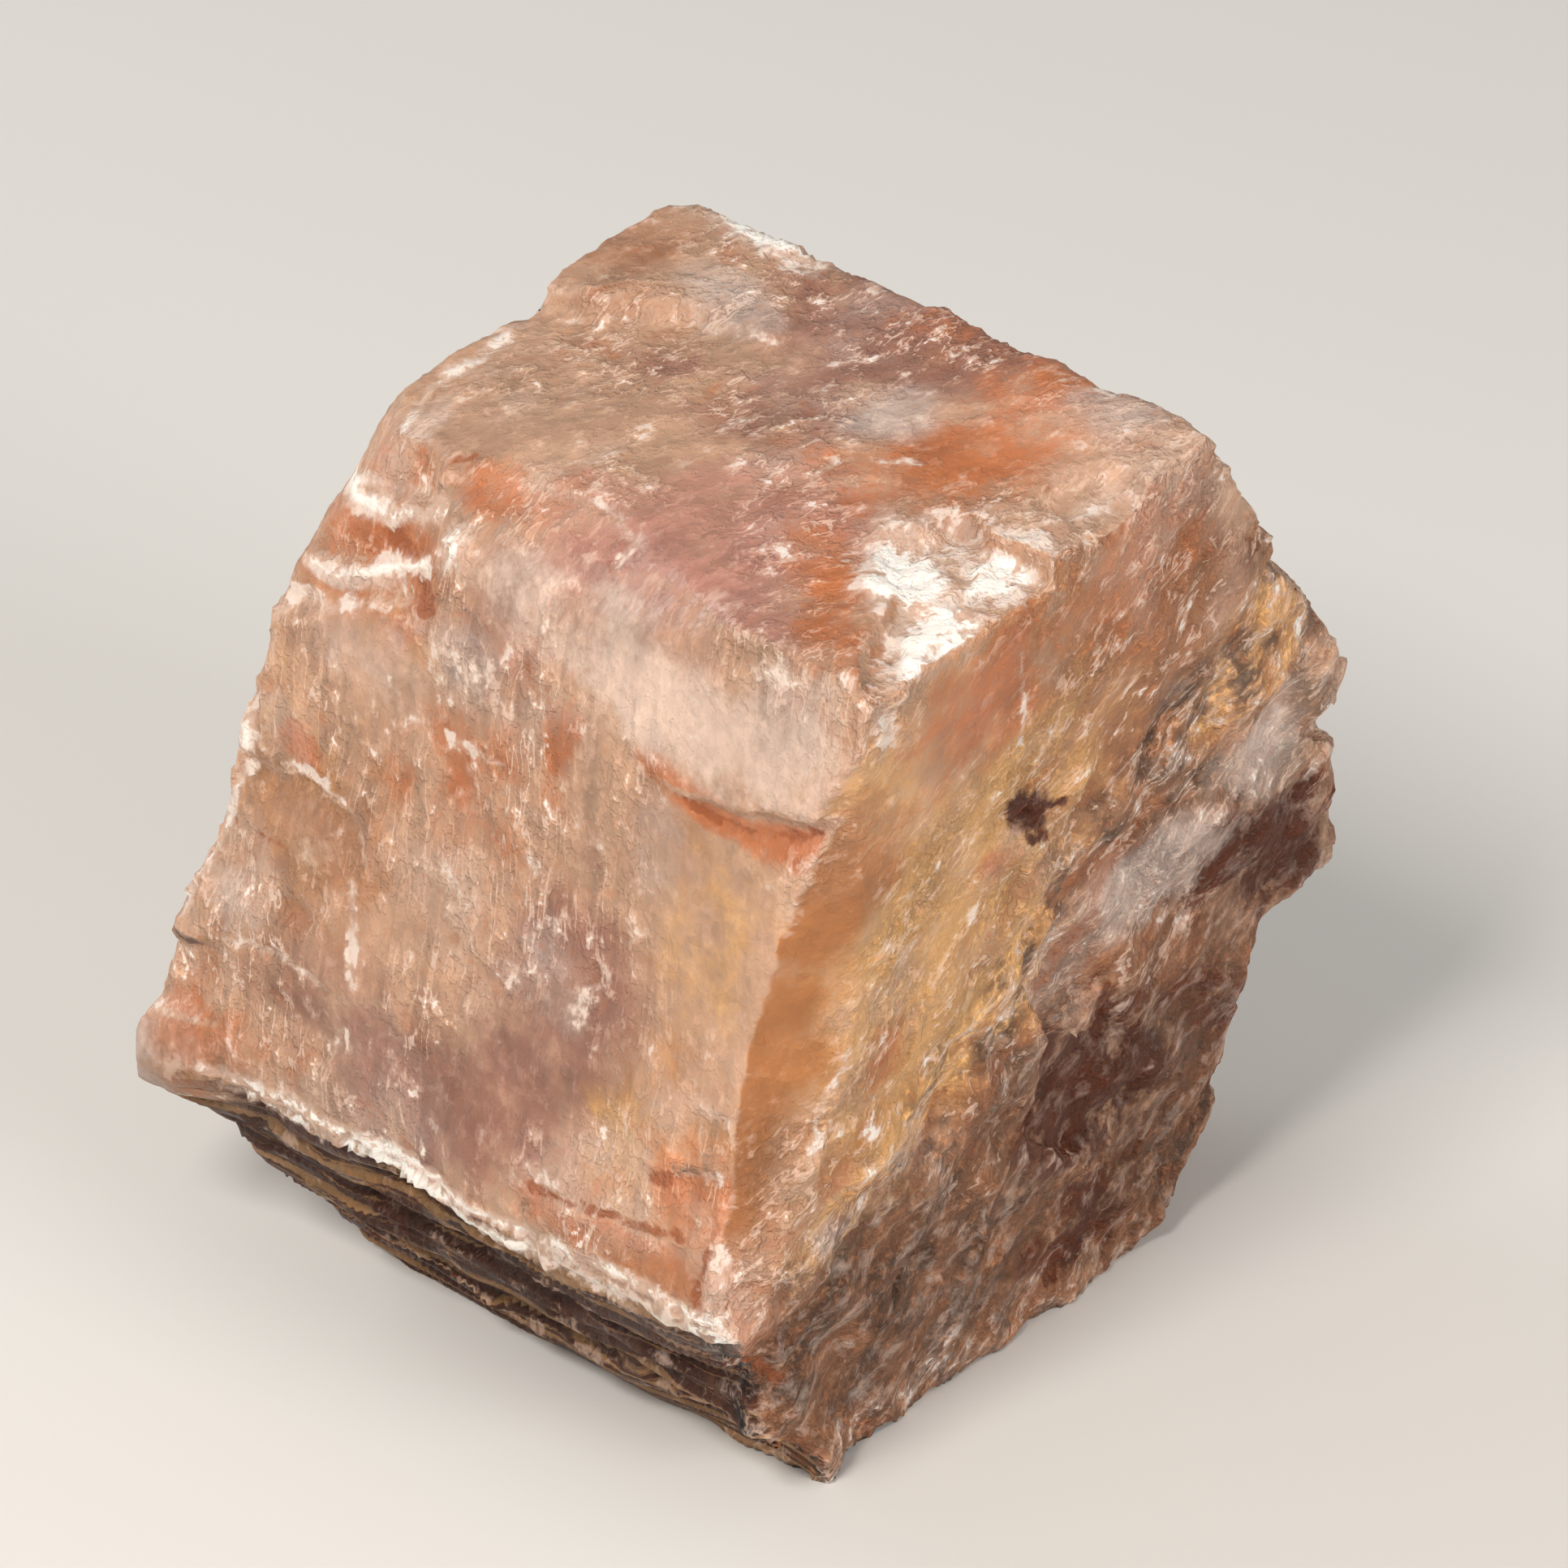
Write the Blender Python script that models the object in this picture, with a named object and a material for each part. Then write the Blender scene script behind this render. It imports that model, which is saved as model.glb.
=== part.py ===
"""A broken cleavage block of aragonite, about 58 mm across, resting on its flat underside.

The block has three sets of cleavage faces that meet at skewed angles, like a leaning box. Its top is nearly
level, two tall faces meet in an edge at the front, and the foot is undercut all round. The back is a rough
fracture. Chips, ledges, a raised wedge and pits are cut into these faces, and every face waves a little.

X runs to the right, Y away from the front and Z up. The origin is on the flat underside, under the middle.
"""

import math

import bmesh
import bpy
from mathutils import Matrix, Vector, noise

MM = 0.001

STONE = "aragonite_crystal"
PARTS_COLLECTION = "aragonite"
CUTTERS_COLLECTION = "aragonite_cutters"

STONE_COLOUR = (0.62, 0.36, 0.22, 1.0)
STONE_ROUGHNESS = 0.45

# Places below are in millimetres. A direction is the bearing of a plane's outward normal round Z from +X,
# and its rise above the level, in degrees.
BLANK_SIZE = 160.0
FRONT_TOP_CORNER = (6.2, -23.5, 48.4)
LEFT_FOOT_CORNER = (-28.9, 7.2, 12.2)

# The three cleavage faces that show, which all meet near the front top corner.
CLEAVAGE = {
    "top": (-149.0, 84.0),
    "left_front": (-137.0, 8.0),
    "right_front": (-36.5, -10.0),
}

# The wedge at the back of the top stands up to this much above the rest of it.
WEDGE_HEIGHT = 1.2

# The other planes that close the block: a point on each, and its direction.
SIDES = {
    "front_undercut": (LEFT_FOOT_CORNER, (-134.7, -34.0)),
    "left_top_corner": ((-15.9, 3.0, 47.8), (180.0, 32.0)),
    "back_left_shoulder": ((-20.7, 4.6, 43.0), (143.5, 21.0)),
    "back_left_middle": ((-23.4, 5.9, 34.0), (143.5, 16.0)),
    "back_left_face": ((-27.0, 6.7, 20.0), (142.0, 15.0)),
    "back_left_foot": ((-28.0, 9.0, 11.0), (147.0, -37.0)),
    "back_slope": ((21.7, -3.3, 51.2), (42.5, 39.0)),
    "back_top_corner": ((-3.8, 22.4, 50.6), (105.0, 32.0)),
    "back_right_face": ((29.6, 14.1, 22.5), (39.0, 9.5)),
    "back_right_foot": ((28.4, 15.5, 16.8), (40.0, -24.0)),
    "right_foot_bevel": ((21.8, 10.2, 2.2), (30.0, -52.0)),
    "back_corner": ((2.0, 33.5, 32.0), (96.0, 8.0)),
    "back_corner_foot": ((0.0, 29.0, 10.0), (98.0, -38.0)),
}

# Hollow chips bitten out of edges: a point on the edge, the way the chip faces, the radius of its hollow, and
# how deep it bites.
EDGE_CHIPS = {
    "top_edge_chip": ((-9.5, -6.4, 47.8), (-0.82, -0.73, 1.13), 47.0, 2.1),
    "front_edge_chip": ((2.3, -23.4, 28.5), (0.25, -0.96, -0.1), 52.0, 3.7),
    "right_foot_hollow": ((26.0, 13.2, 12.2), (0.75, 0.55, -0.35), 9.0, 2.3),
}

# Ledges broken into a face. Each has its face, the depth of its floor under the front top corner, the lean of
# the floor about the face's two directions in degrees, and its outline, across and up the face from there.
LEDGES = {
    "top_around_wedge": (
        "top", 0.0, (0.0, 0.0),
        ((-30.0, 38.5), (-15.0, 38.5), (-13.0, 37.0), (-10.0, 35.5), (-8.0, 36.0), (-4.5, 32.5), (-2.5, 34.0),
         (-1.5, 45.0), (40.0, 45.0), (40.0, -15.0), (-30.0, -15.0)),
    ),
    "wedge_side": (
        "top", 1.8, (0.0, -10.0),
        ((-30.0, 60.0), (-30.0, 37.6), (-15.5, 38.0), (-14.8, 40.0), (-13.8, 42.6), (-12.2, 44.6),
         (-10.5, 45.8), (-9.0, 48.0), (-9.0, 60.0)),
    ),
    "wedge_slope": (
        "top", -0.7, (0.0, 5.0),
        ((-18.0, 55.0), (-18.0, 40.0), (-14.5, 36.0), (-8.0, 34.0), (-1.0, 30.0), (4.0, 45.0), (0.0, 55.0)),
    ),
    "white_chip": (
        "top", 1.1, (3.0, 5.0),
        ((0.0, 14.0), (3.0, 15.0), (5.0, 16.0), (5.5, 13.0), (8.0, 11.0), (9.5, 6.0), (3.0, -5.0), (-1.0, -3.0),
         (-0.5, 4.0), (0.8, 8.0)),
    ),
    "top_scoop": (
        "top", 0.9, (0.0, 4.0),
        ((7.0, 16.5), (8.5, 18.2), (12.0, 18.5), (13.0, 16.5), (12.0, 13.0), (9.5, 12.5)),
    ),
    "face_under_plate": (
        "left_front", 0.7, (0.0, 1.0),
        ((6.0, -3.5), (0.0, -3.5), (-2.0, -7.2), (-6.5, -8.7), (-12.5, -9.5), (-16.0, -8.0), (-20.5, -6.8),
         (-25.5, -6.3), (-29.0, -5.5), (-29.5, 6.0), (-60.0, 6.0), (-60.0, -60.0), (6.0, -60.0)),
    ),
    "corner_notch_foot": (
        "left_front", 1.1, (0.0, 0.0),
        ((-44.0, -10.5), (-38.0, -10.5), (-32.5, -7.5), (-29.8, -6.5), (-29.2, -3.0), (-30.0, 6.0),
         (-44.0, 6.0)),
    ),
    "corner_notch_middle": (
        "left_front", 1.8, (0.0, 0.0),
        ((-44.0, -7.5), (-38.5, -7.5), (-33.0, -6.0), (-30.2, -4.5), (-30.5, 6.0), (-44.0, 6.0)),
    ),
    "corner_notch_head": (
        "left_front", 2.5, (0.0, 0.0),
        ((-44.0, -4.2), (-37.0, -3.8), (-31.5, -2.5), (-31.0, 6.0), (-44.0, 6.0)),
    ),
    "left_arc_upper": (
        "left_front", 0.9, (0.0, 1.5),
        ((-50.0, -19.0), (-38.5, -18.8), (-34.5, -18.3), (-32.5, -19.8), (-32.8, -23.0), (-36.0, -26.5),
         (-50.0, -26.5)),
    ),
    "left_arc_lower": (
        "left_front", 1.1, (2.0, 1.5),
        ((-50.0, -29.5), (-40.0, -28.5), (-35.5, -27.5), (-33.0, -28.0), (-32.0, -29.5), (-34.0, -32.5),
         (-50.0, -34.0)),
    ),
    "rust_ledge": (
        "left_front", 1.7, (0.0, 0.0),
        ((-19.5, -33.0), (-15.0, -32.4), (-10.5, -31.8), (-8.7, -31.5), (-8.2, -33.0), (-8.6, -37.0),
         (-19.0, -37.0)),
    ),
    "small_ledge_upper": (
        "left_front", 1.3, (6.0, 0.0),
        ((-10.5, -25.0), (-7.5, -24.3), (-6.8, -25.6), (-9.5, -26.4)),
    ),
    "small_ledge_lower": (
        "left_front", 1.3, (6.0, 0.0),
        ((-11.0, -27.6), (-7.2, -26.6), (-6.6, -28.0), (-10.0, -29.2)),
    ),
    "rind_hollow": (
        "right_front", 0.5, (2.0, -2.0),
        ((18.0, -19.0), (27.0, -17.0), (33.0, -21.0), (31.0, -28.0), (22.0, -30.0), (17.0, -25.0)),
    ),
    "dark_hollow": (
        "right_front", 0.7, (0.0, -2.5),
        ((20.5, -30.5), (27.0, -31.0), (31.0, -34.5), (31.5, -38.5), (25.0, -39.0), (21.0, -35.5)),
    ),
    "right_notch": (
        "right_front", 2.2, (0.0, 8.0),
        ((39.5, -20.3), (50.0, -20.3), (50.0, -23.2), (41.5, -22.8)),
    ),
    "right_shoulder_step": (
        "right_front", 1.6, (0.0, 7.0),
        ((31.5, -3.0), (33.5, -8.3), (36.5, -10.5), (50.0, -10.0), (50.0, 6.0), (31.5, 6.0)),
    ),
    "foot_corner_step": (
        "right_front", 0.9, (0.0, -6.0),
        ((-8.0, -38.0), (-1.0, -38.0), (3.0, -40.5), (5.5, -45.5), (6.5, -56.0), (-8.0, -56.0)),
    ),
}
# A ledge's cutter is this tall, so that it always reaches out of the stone.
LEDGE_CUTTER_HEIGHT = 12.0

# Layers that crop out along the undercut foot, each as a long step: how far it starts below the foot's upper
# edge, its width, its depth, and where along the edge it begins and ends.
UNDERCUT_LAYERS = (
    (1.2, 1.5, 0.9, -60.0, 30.0),
    (4.2, 2.4, 0.7, -30.0, 40.0),
    (6.4, 1.6, 1.2, -60.0, 2.0),
    (9.2, 2.0, 0.8, -22.0, 40.0),
    (11.8, 3.5, 0.6, -60.0, 40.0),
)
LAYER_CUTTER_HEIGHT = 8.0
# The steps' edges swing in and out by this much, over swings of this length, with a corner this often.
LAYER_SWING = 1.2
LAYER_SWING_LENGTH = 6.0
LAYER_CORNER_EVERY = 3.0

# Pits: the face, the place across and up it, and the width, height and depth of the pit.
PITS = {
    "dark_pit": ("right_front", (15.2, -14.5), 2.4, 1.7, 1.3),
    "small_pit": ("right_front", (4.5, -30.5), 1.3, 1.1, 0.8),
}

# Broken outlines turn at least this often and stray this far to either side. A side longer than the limit
# lies clear of the stone and stays straight.
RAGGED_STEP = 1.6
RAGGED_STRAY = 0.35
RAGGED_LIMIT = 13.0

# The seed that fixes the waves and the ragged outlines.
NOISE_SEED = 1795477082
# How the surface waves: length and height of the waves, everywhere and on the rough rind.
BROAD_WAVE = (15.0, 0.5)
FINE_WAVE = (4.5, 0.22)
RIND_WAVE = (3.2, 0.7)
# The rind's edge runs this far across the right face for each millimetre up it.
RIND_SLANT = 1.14

# Spacing of the cleavage planes along which the faces are divided, so that they can wave. A corner closer to
# a plane than the snap counts as on it.
LAYER_SPACING = 2.4
LAYER_SNAP = 0.25
# Corners closer together than this are one.
WELD = 0.05

CHIP_SEGMENTS = 64
PIT_SEGMENTS = 12


def bearing_vector(direction):
    """The unit vector of a bearing and rise given in degrees."""
    bearing, rise = (math.radians(angle) for angle in direction)
    return Vector((math.cos(bearing) * math.cos(rise), math.sin(bearing) * math.cos(rise), math.sin(rise)))


class Face:
    """A cleavage face through the front top corner, with directions across it and up it."""

    def __init__(self, name):
        self.origin = Vector(FRONT_TOP_CORNER) * MM
        self.out = bearing_vector(CLEAVAGE[name])
        if name == "top":
            self.across = (Vector((1, 0, 0)) - self.out * self.out.x).normalized()
            self.up = self.out.cross(self.across)
        else:
            self.up = (Vector((0, 0, 1)) - self.out * self.out.z).normalized()
            self.across = self.up.cross(self.out)

    def frame(self, across, up, out=0.0):
        """A placement on the face, in millimetres from its origin: X runs across it, Y up it and Z out of it."""
        place = self.origin + (self.across * across + self.up * up + self.out * out) * MM
        return Matrix.Translation(place) @ turned_to(self.across, self.up, self.out)


def turned_to(x_axis, y_axis, z_axis):
    """The rotation that takes the world's axes to these three."""
    return Matrix((x_axis, y_axis, z_axis)).transposed().to_4x4()


def clear_scene():
    for scene_object in list(bpy.data.objects):
        bpy.data.objects.remove(scene_object, do_unlink=True)


def new_collection(name):
    collection = bpy.data.collections.new(name)
    bpy.context.scene.collection.children.link(collection)
    return collection


def add_object(name, data, collection, placement=None):
    """Put data in the scene under a name."""
    added = bpy.data.objects.new(name, data)
    if placement is not None:
        added.matrix_world = placement
    collection.objects.link(added)
    return added


def add_cutter(name, mesh, cutters, placement=None):
    """A hidden solid that a Boolean takes away."""
    cutter = add_object(name, mesh, cutters, placement)
    cutter.hide_render = True
    cutter.display_type = "WIRE"
    return cutter


def cut_by_plane(bm, point, normal):
    """Take away what lies outside a plane and close the cut with one flat face."""
    everything = bm.verts[:] + bm.edges[:] + bm.faces[:]
    cut = bmesh.ops.bisect_plane(bm, geom=everything, plane_co=point, plane_no=normal, clear_outer=True)
    rim = [item for item in cut["geom_cut"] if isinstance(item, bmesh.types.BMEdge)]
    bmesh.ops.edgeloop_fill(bm, edges=rim)


def block_mesh():
    """The plain block: a blank trimmed by the cleavage planes and the sides."""
    bm = bmesh.new()
    bmesh.ops.create_cube(bm, size=BLANK_SIZE * MM)
    corner = Vector(FRONT_TOP_CORNER) * MM
    top = bearing_vector(CLEAVAGE["top"])
    cut_by_plane(bm, corner + top * WEDGE_HEIGHT * MM, top)
    for name in ("left_front", "right_front"):
        cut_by_plane(bm, corner, bearing_vector(CLEAVAGE[name]))
    for point, direction in SIDES.values():
        cut_by_plane(bm, Vector(point) * MM, bearing_vector(direction))
    bmesh.ops.recalc_face_normals(bm, faces=bm.faces)
    mesh = bpy.data.meshes.new(STONE)
    bm.to_mesh(mesh)
    bm.free()
    return mesh


def ragged(outline):
    """The outline with its sides broken into short steps that stray to either side."""
    points = []
    for start, end in zip(outline, outline[1:] + outline[:1]):
        start, end = Vector(start), Vector(end)
        side = end - start
        steps = max(1, round(side.length / RAGGED_STEP)) if side.length < RAGGED_LIMIT else 1
        for step in range(steps):
            place = start + side * (step / steps)
            stray = noise.noise_vector(place.to_3d() * 1.3) * RAGGED_STRAY * 2
            points.append((place.x + stray.x, place.y + stray.y))
    return points


def prism_mesh(name, outline, height):
    """A closed prism over an outline, half its height to either side of the outline's plane."""
    curve = bpy.data.curves.new(name, "CURVE")
    curve.dimensions = "2D"
    curve.fill_mode = "BOTH"
    curve.extrude = height / 2 * MM
    spline = curve.splines.new("POLY")
    spline.points.add(len(outline) - 1)
    for spline_point, (x, y) in zip(spline.points, outline):
        spline_point.co = (x * MM, y * MM, 0.0, 1.0)
    spline.use_cyclic_u = True
    guide = add_object(name + "_outline", curve, bpy.context.scene.collection)
    evaluated = guide.evaluated_get(bpy.context.evaluated_depsgraph_get())
    mesh = bpy.data.meshes.new_from_object(evaluated)
    bpy.data.objects.remove(guide, do_unlink=True)
    bm = bmesh.new()
    bm.from_mesh(mesh)
    bmesh.ops.remove_doubles(bm, verts=bm.verts, dist=0.00001)
    bmesh.ops.recalc_face_normals(bm, faces=bm.faces)
    bm.to_mesh(mesh)
    bm.free()
    return mesh


def ledge_cutter(name, face, depth, lean, outline, cutters):
    """A prism over an outline on a face, whose floor lies at `depth` and leans about the outline's middle."""
    middle = sum((Vector(corner) for corner in outline), Vector((0.0, 0.0))) / len(outline)
    local = [(x - middle.x, y - middle.y) for x, y in ragged(outline)]
    leaning = Matrix.Rotation(math.radians(lean[0]), 4, "X") @ Matrix.Rotation(math.radians(lean[1]), 4, "Y")
    lift = Matrix.Translation((0.0, 0.0, LEDGE_CUTTER_HEIGHT / 2 * MM))
    placement = face.frame(middle.x, middle.y, -depth) @ leaning @ lift
    return add_cutter(name, prism_mesh(name, local, LEDGE_CUTTER_HEIGHT), cutters, placement)


def ball_cutter(name, placement, segments, cutters):
    """A ball of radius 1 mm, stretched and placed by its placement."""
    bm = bmesh.new()
    bmesh.ops.create_uvsphere(bm, u_segments=segments, v_segments=segments // 2, radius=MM)
    bmesh.ops.transform(bm, matrix=placement, verts=bm.verts)
    mesh = bpy.data.meshes.new(name)
    bm.to_mesh(mesh)
    bm.free()
    return add_cutter(name, mesh, cutters)


def edge_chip_cutter(name, point, facing, radius, depth, cutters):
    """A ball that bites a hollow out of an edge: a large one leaves a long shallow chip."""
    centre = Vector(point) * MM + Vector(facing).normalized() * (radius - depth) * MM
    placement = Matrix.Translation(centre) @ Matrix.Scale(radius, 4)
    return ball_cutter(name, placement, CHIP_SEGMENTS, cutters)


def pit_cutter(name, face, place, width, height, depth, cutters):
    """A small oval hollow in a face."""
    stretch = Matrix.Diagonal((width / 2, height / 2, depth, 1.0))
    return ball_cutter(name, face.frame(*place) @ stretch, PIT_SEGMENTS, cutters)


def layer_outline(start, width, begin, end):
    """A long strip along the undercut, whose edges swing in and out."""
    steps = int((end - begin) / LAYER_CORNER_EVERY)
    stations = [begin + (end - begin) * step / steps for step in range(steps + 1)]
    corners = [(along, -start) for along in stations]
    corners += [(along, -start - width) for along in reversed(stations)]
    outline = []
    for along, drop in corners:
        swing = noise.noise(Vector((along / LAYER_SWING_LENGTH, drop, 3.0))) * LAYER_SWING
        outline.append((along, drop + swing))
    return outline


def undercut_layer_cutters(cutters):
    """Long steps along the undercut foot, where the layers of the stone crop out."""
    point, direction = SIDES["front_undercut"]
    out = bearing_vector(direction)
    along = Vector((0, 0, 1)).cross(out).normalized()
    foot = Matrix.Translation(Vector(point) * MM) @ turned_to(along, out.cross(along), out)
    made = []
    for number, (start, width, depth, begin, end) in enumerate(UNDERCUT_LAYERS, 1):
        name = f"undercut_layer_{number}"
        mesh = prism_mesh(name, layer_outline(start, width, begin, end), LAYER_CUTTER_HEIGHT)
        lift = Matrix.Translation((0.0, 0.0, (LAYER_CUTTER_HEIGHT / 2 - depth) * MM))
        made.append(add_cutter(name, mesh, cutters, foot @ lift))
    return made


def all_cutters(cutters):
    """Every ledge, chip, layer and pit, in the order in which they are taken from the block."""
    faces = {name: Face(name) for name in CLEAVAGE}
    made = []
    for name, (face, depth, lean, outline) in LEDGES.items():
        made.append(ledge_cutter(name, faces[face], depth, lean, outline, cutters))
    for name, chip in EDGE_CHIPS.items():
        made.append(edge_chip_cutter(name, *chip, cutters))
    made.extend(undercut_layer_cutters(cutters))
    for name, (face, place, width, height, depth) in PITS.items():
        made.append(pit_cutter(name, faces[face], place, width, height, depth, cutters))
    return made


def take_away(stone, cutters):
    """Cut each cutter out of the stone, and give the stone the mesh that is left."""
    for cutter in cutters:
        boolean = stone.modifiers.new(cutter.name, "BOOLEAN")
        boolean.operation = "DIFFERENCE"
        boolean.solver = "EXACT"
        boolean.object = cutter
    evaluated = stone.evaluated_get(bpy.context.evaluated_depsgraph_get())
    stone.data = bpy.data.meshes.new_from_object(evaluated)
    stone.modifiers.clear()


def divide_along(bm, normal):
    """Divide every face along evenly spaced planes with this normal."""
    count = int(BLANK_SIZE / 2 / LAYER_SPACING)
    for layer in range(-count, count + 1):
        place = normal * (layer + 0.5) * LAYER_SPACING * MM
        everything = bm.verts[:] + bm.edges[:] + bm.faces[:]
        bmesh.ops.bisect_plane(bm, geom=everything, dist=LAYER_SNAP * MM, plane_co=place, plane_no=normal)


def smooth_between(low, high, value):
    """0 below low, 1 above high, and an even rise between them."""
    share = min(1.0, max(0.0, (value - low) / (high - low)))
    return share * share * (3.0 - 2.0 * share)


def rind_share(point, face):
    """How rough the stone is here: the outer part of the right face and the back carry a rind, the top none."""
    offset = (point - face.origin) / MM
    across, up, out = offset.dot(face.across), offset.dot(face.up), offset.dot(face.out)
    on_face = smooth_between(30.0, 36.0, across - RIND_SLANT * up) * smooth_between(-4.0, -1.5, out)
    at_back = smooth_between(8.0, 20.0, point.y / MM)
    below_top = 1.0 - smooth_between(44.0, 46.5, point.z / MM)
    return max(on_face, at_back) * below_top


def wave(point, wavelength, height):
    """A smooth shift of a point, in waves of this length and height that differ for each length."""
    return noise.noise_vector(point / (wavelength * MM) + Vector((wavelength, 0.0, 0.0))) * height * MM


def weather(stone):
    """Divide the faces along the cleavage, let them wave, and cut the flat underside."""
    bm = bmesh.new()
    bm.from_mesh(stone.data)
    # The corners are sorted so that the same one of two close corners always stays.
    bm.verts.sort(key=lambda vert: vert.co.dot(Vector((1.0, 0.7, 0.3))))
    bmesh.ops.remove_doubles(bm, verts=bm.verts, dist=WELD * MM)
    for direction in CLEAVAGE.values():
        divide_along(bm, bearing_vector(direction))
    right_face = Face("right_front")
    for vert in bm.verts:
        shift = wave(vert.co, *BROAD_WAVE) + wave(vert.co, *FINE_WAVE)
        shift += wave(vert.co, *RIND_WAVE) * rind_share(vert.co, right_face)
        vert.co += shift
    cut_by_plane(bm, Vector((0, 0, 0)), Vector((0, 0, -1)))
    bmesh.ops.triangulate(bm, faces=bm.faces)
    bmesh.ops.recalc_face_normals(bm, faces=bm.faces)
    bm.to_mesh(stone.data)
    bm.free()


def stone_material():
    """Milky, warm brown carbonate."""
    material = bpy.data.materials.new("aragonite_stone")
    material.use_nodes = True
    surface = material.node_tree.nodes["Principled BSDF"]
    surface.inputs["Base Color"].default_value = STONE_COLOUR
    surface.inputs["Roughness"].default_value = STONE_ROUGHNESS
    surface.inputs["Metallic"].default_value = 0.0
    material.diffuse_color = STONE_COLOUR
    return material


def build():
    noise.seed_set(NOISE_SEED)
    clear_scene()
    parts = new_collection(PARTS_COLLECTION)
    cutters = new_collection(CUTTERS_COLLECTION)
    stone = add_object(STONE, block_mesh(), parts)
    take_away(stone, all_cutters(cutters))
    weather(stone)
    stone.data.materials.clear()
    stone.data.materials.append(stone_material())


build()
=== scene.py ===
"""The looks of a cleavage block of aragonite, laid out as a Blender add-on.

The block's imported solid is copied, its waves are taken out, and it is divided finely and waved again, so
that its edges stay crisp and its faces smooth. Flakes, striations, crumbs and rind are raised on it, and its
minerals are spread over its faces as masks that the stone's material reads.
"""

import itertools
import math

import bmesh
import bpy
import numpy as np
from bpy.props import FloatProperty, FloatVectorProperty, PointerProperty
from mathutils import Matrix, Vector, noise


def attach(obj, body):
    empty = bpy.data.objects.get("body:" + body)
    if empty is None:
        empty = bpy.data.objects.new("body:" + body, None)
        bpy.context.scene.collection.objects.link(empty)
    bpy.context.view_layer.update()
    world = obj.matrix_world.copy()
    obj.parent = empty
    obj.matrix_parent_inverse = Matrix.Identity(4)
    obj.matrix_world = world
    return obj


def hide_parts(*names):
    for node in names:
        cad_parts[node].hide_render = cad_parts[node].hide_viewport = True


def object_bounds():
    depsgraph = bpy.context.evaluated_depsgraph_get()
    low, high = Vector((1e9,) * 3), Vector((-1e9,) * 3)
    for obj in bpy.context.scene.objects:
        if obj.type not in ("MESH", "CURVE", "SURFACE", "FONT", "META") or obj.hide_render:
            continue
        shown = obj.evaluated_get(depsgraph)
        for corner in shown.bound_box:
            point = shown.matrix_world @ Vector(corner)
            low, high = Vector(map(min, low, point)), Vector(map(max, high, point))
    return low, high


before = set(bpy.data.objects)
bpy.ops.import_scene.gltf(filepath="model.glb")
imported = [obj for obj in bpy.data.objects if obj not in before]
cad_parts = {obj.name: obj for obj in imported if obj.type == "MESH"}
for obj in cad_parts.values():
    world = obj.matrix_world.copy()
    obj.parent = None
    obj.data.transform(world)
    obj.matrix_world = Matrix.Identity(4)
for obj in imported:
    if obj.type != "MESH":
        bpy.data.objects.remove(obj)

bl_info = {
    "name": "Aragonite Block",
    "version": (1, 0, 0),
    "blender": (4, 5, 0),
    "location": "3D View > Sidebar > Aragonite",
    "description": "Builds the surface and the finish of a cleavage block of aragonite, and a stage for it",
    "category": "Object",
}

MM = 0.001
SOLID = "aragonite_crystal"
STONE = "aragonite_surface"
CAD_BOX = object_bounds()

# The solid's own frame: where its cleavage faces meet, and each face's outward direction, as its bearing
# round Z from +X and its rise above the level, in degrees. Places are in millimetres.
FRONT_TOP_CORNER = (6.2, -23.5, 48.4)
LEFT_FOOT_CORNER = (-28.9, 7.2, 12.2)
FACES = {
    "top": (FRONT_TOP_CORNER, (-149.0, 84.0)),
    "left": (FRONT_TOP_CORNER, (-137.0, 8.0)),
    "right": (FRONT_TOP_CORNER, (-36.5, -10.0)),
    "undercut": (LEFT_FOOT_CORNER, (-134.7, -34.0)),
}
# The stone has one grain, which runs in this direction.
GRAIN = (38.0, 36.0)

# The waves that the solid's faces carry: their seed, and their length and height.
WAVE_SEED = 1795477082
BROAD_WAVE = (15.0, 0.5)
FINE_WAVE = (4.5, 0.22)
RIND_WAVE = (3.2, 0.7)
RIND_SLANT = 1.14
# The rind's colour starts this much further in than its waves.
RIND_SETBACK = 7.0
UNWAVE_ROUNDS = 14
# What lies lower than this on the waved block rests on the ground.
GROUND_LAYER = 0.12


def linear(hex_colour):
    """A linear colour from an sRGB hex value."""
    channels = [int(hex_colour[place:place + 2], 16) / 255 for place in (1, 3, 5)]
    return tuple(c / 12.92 if c <= 0.04045 else ((c + 0.055) / 1.055) ** 2.4 for c in channels)


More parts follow.
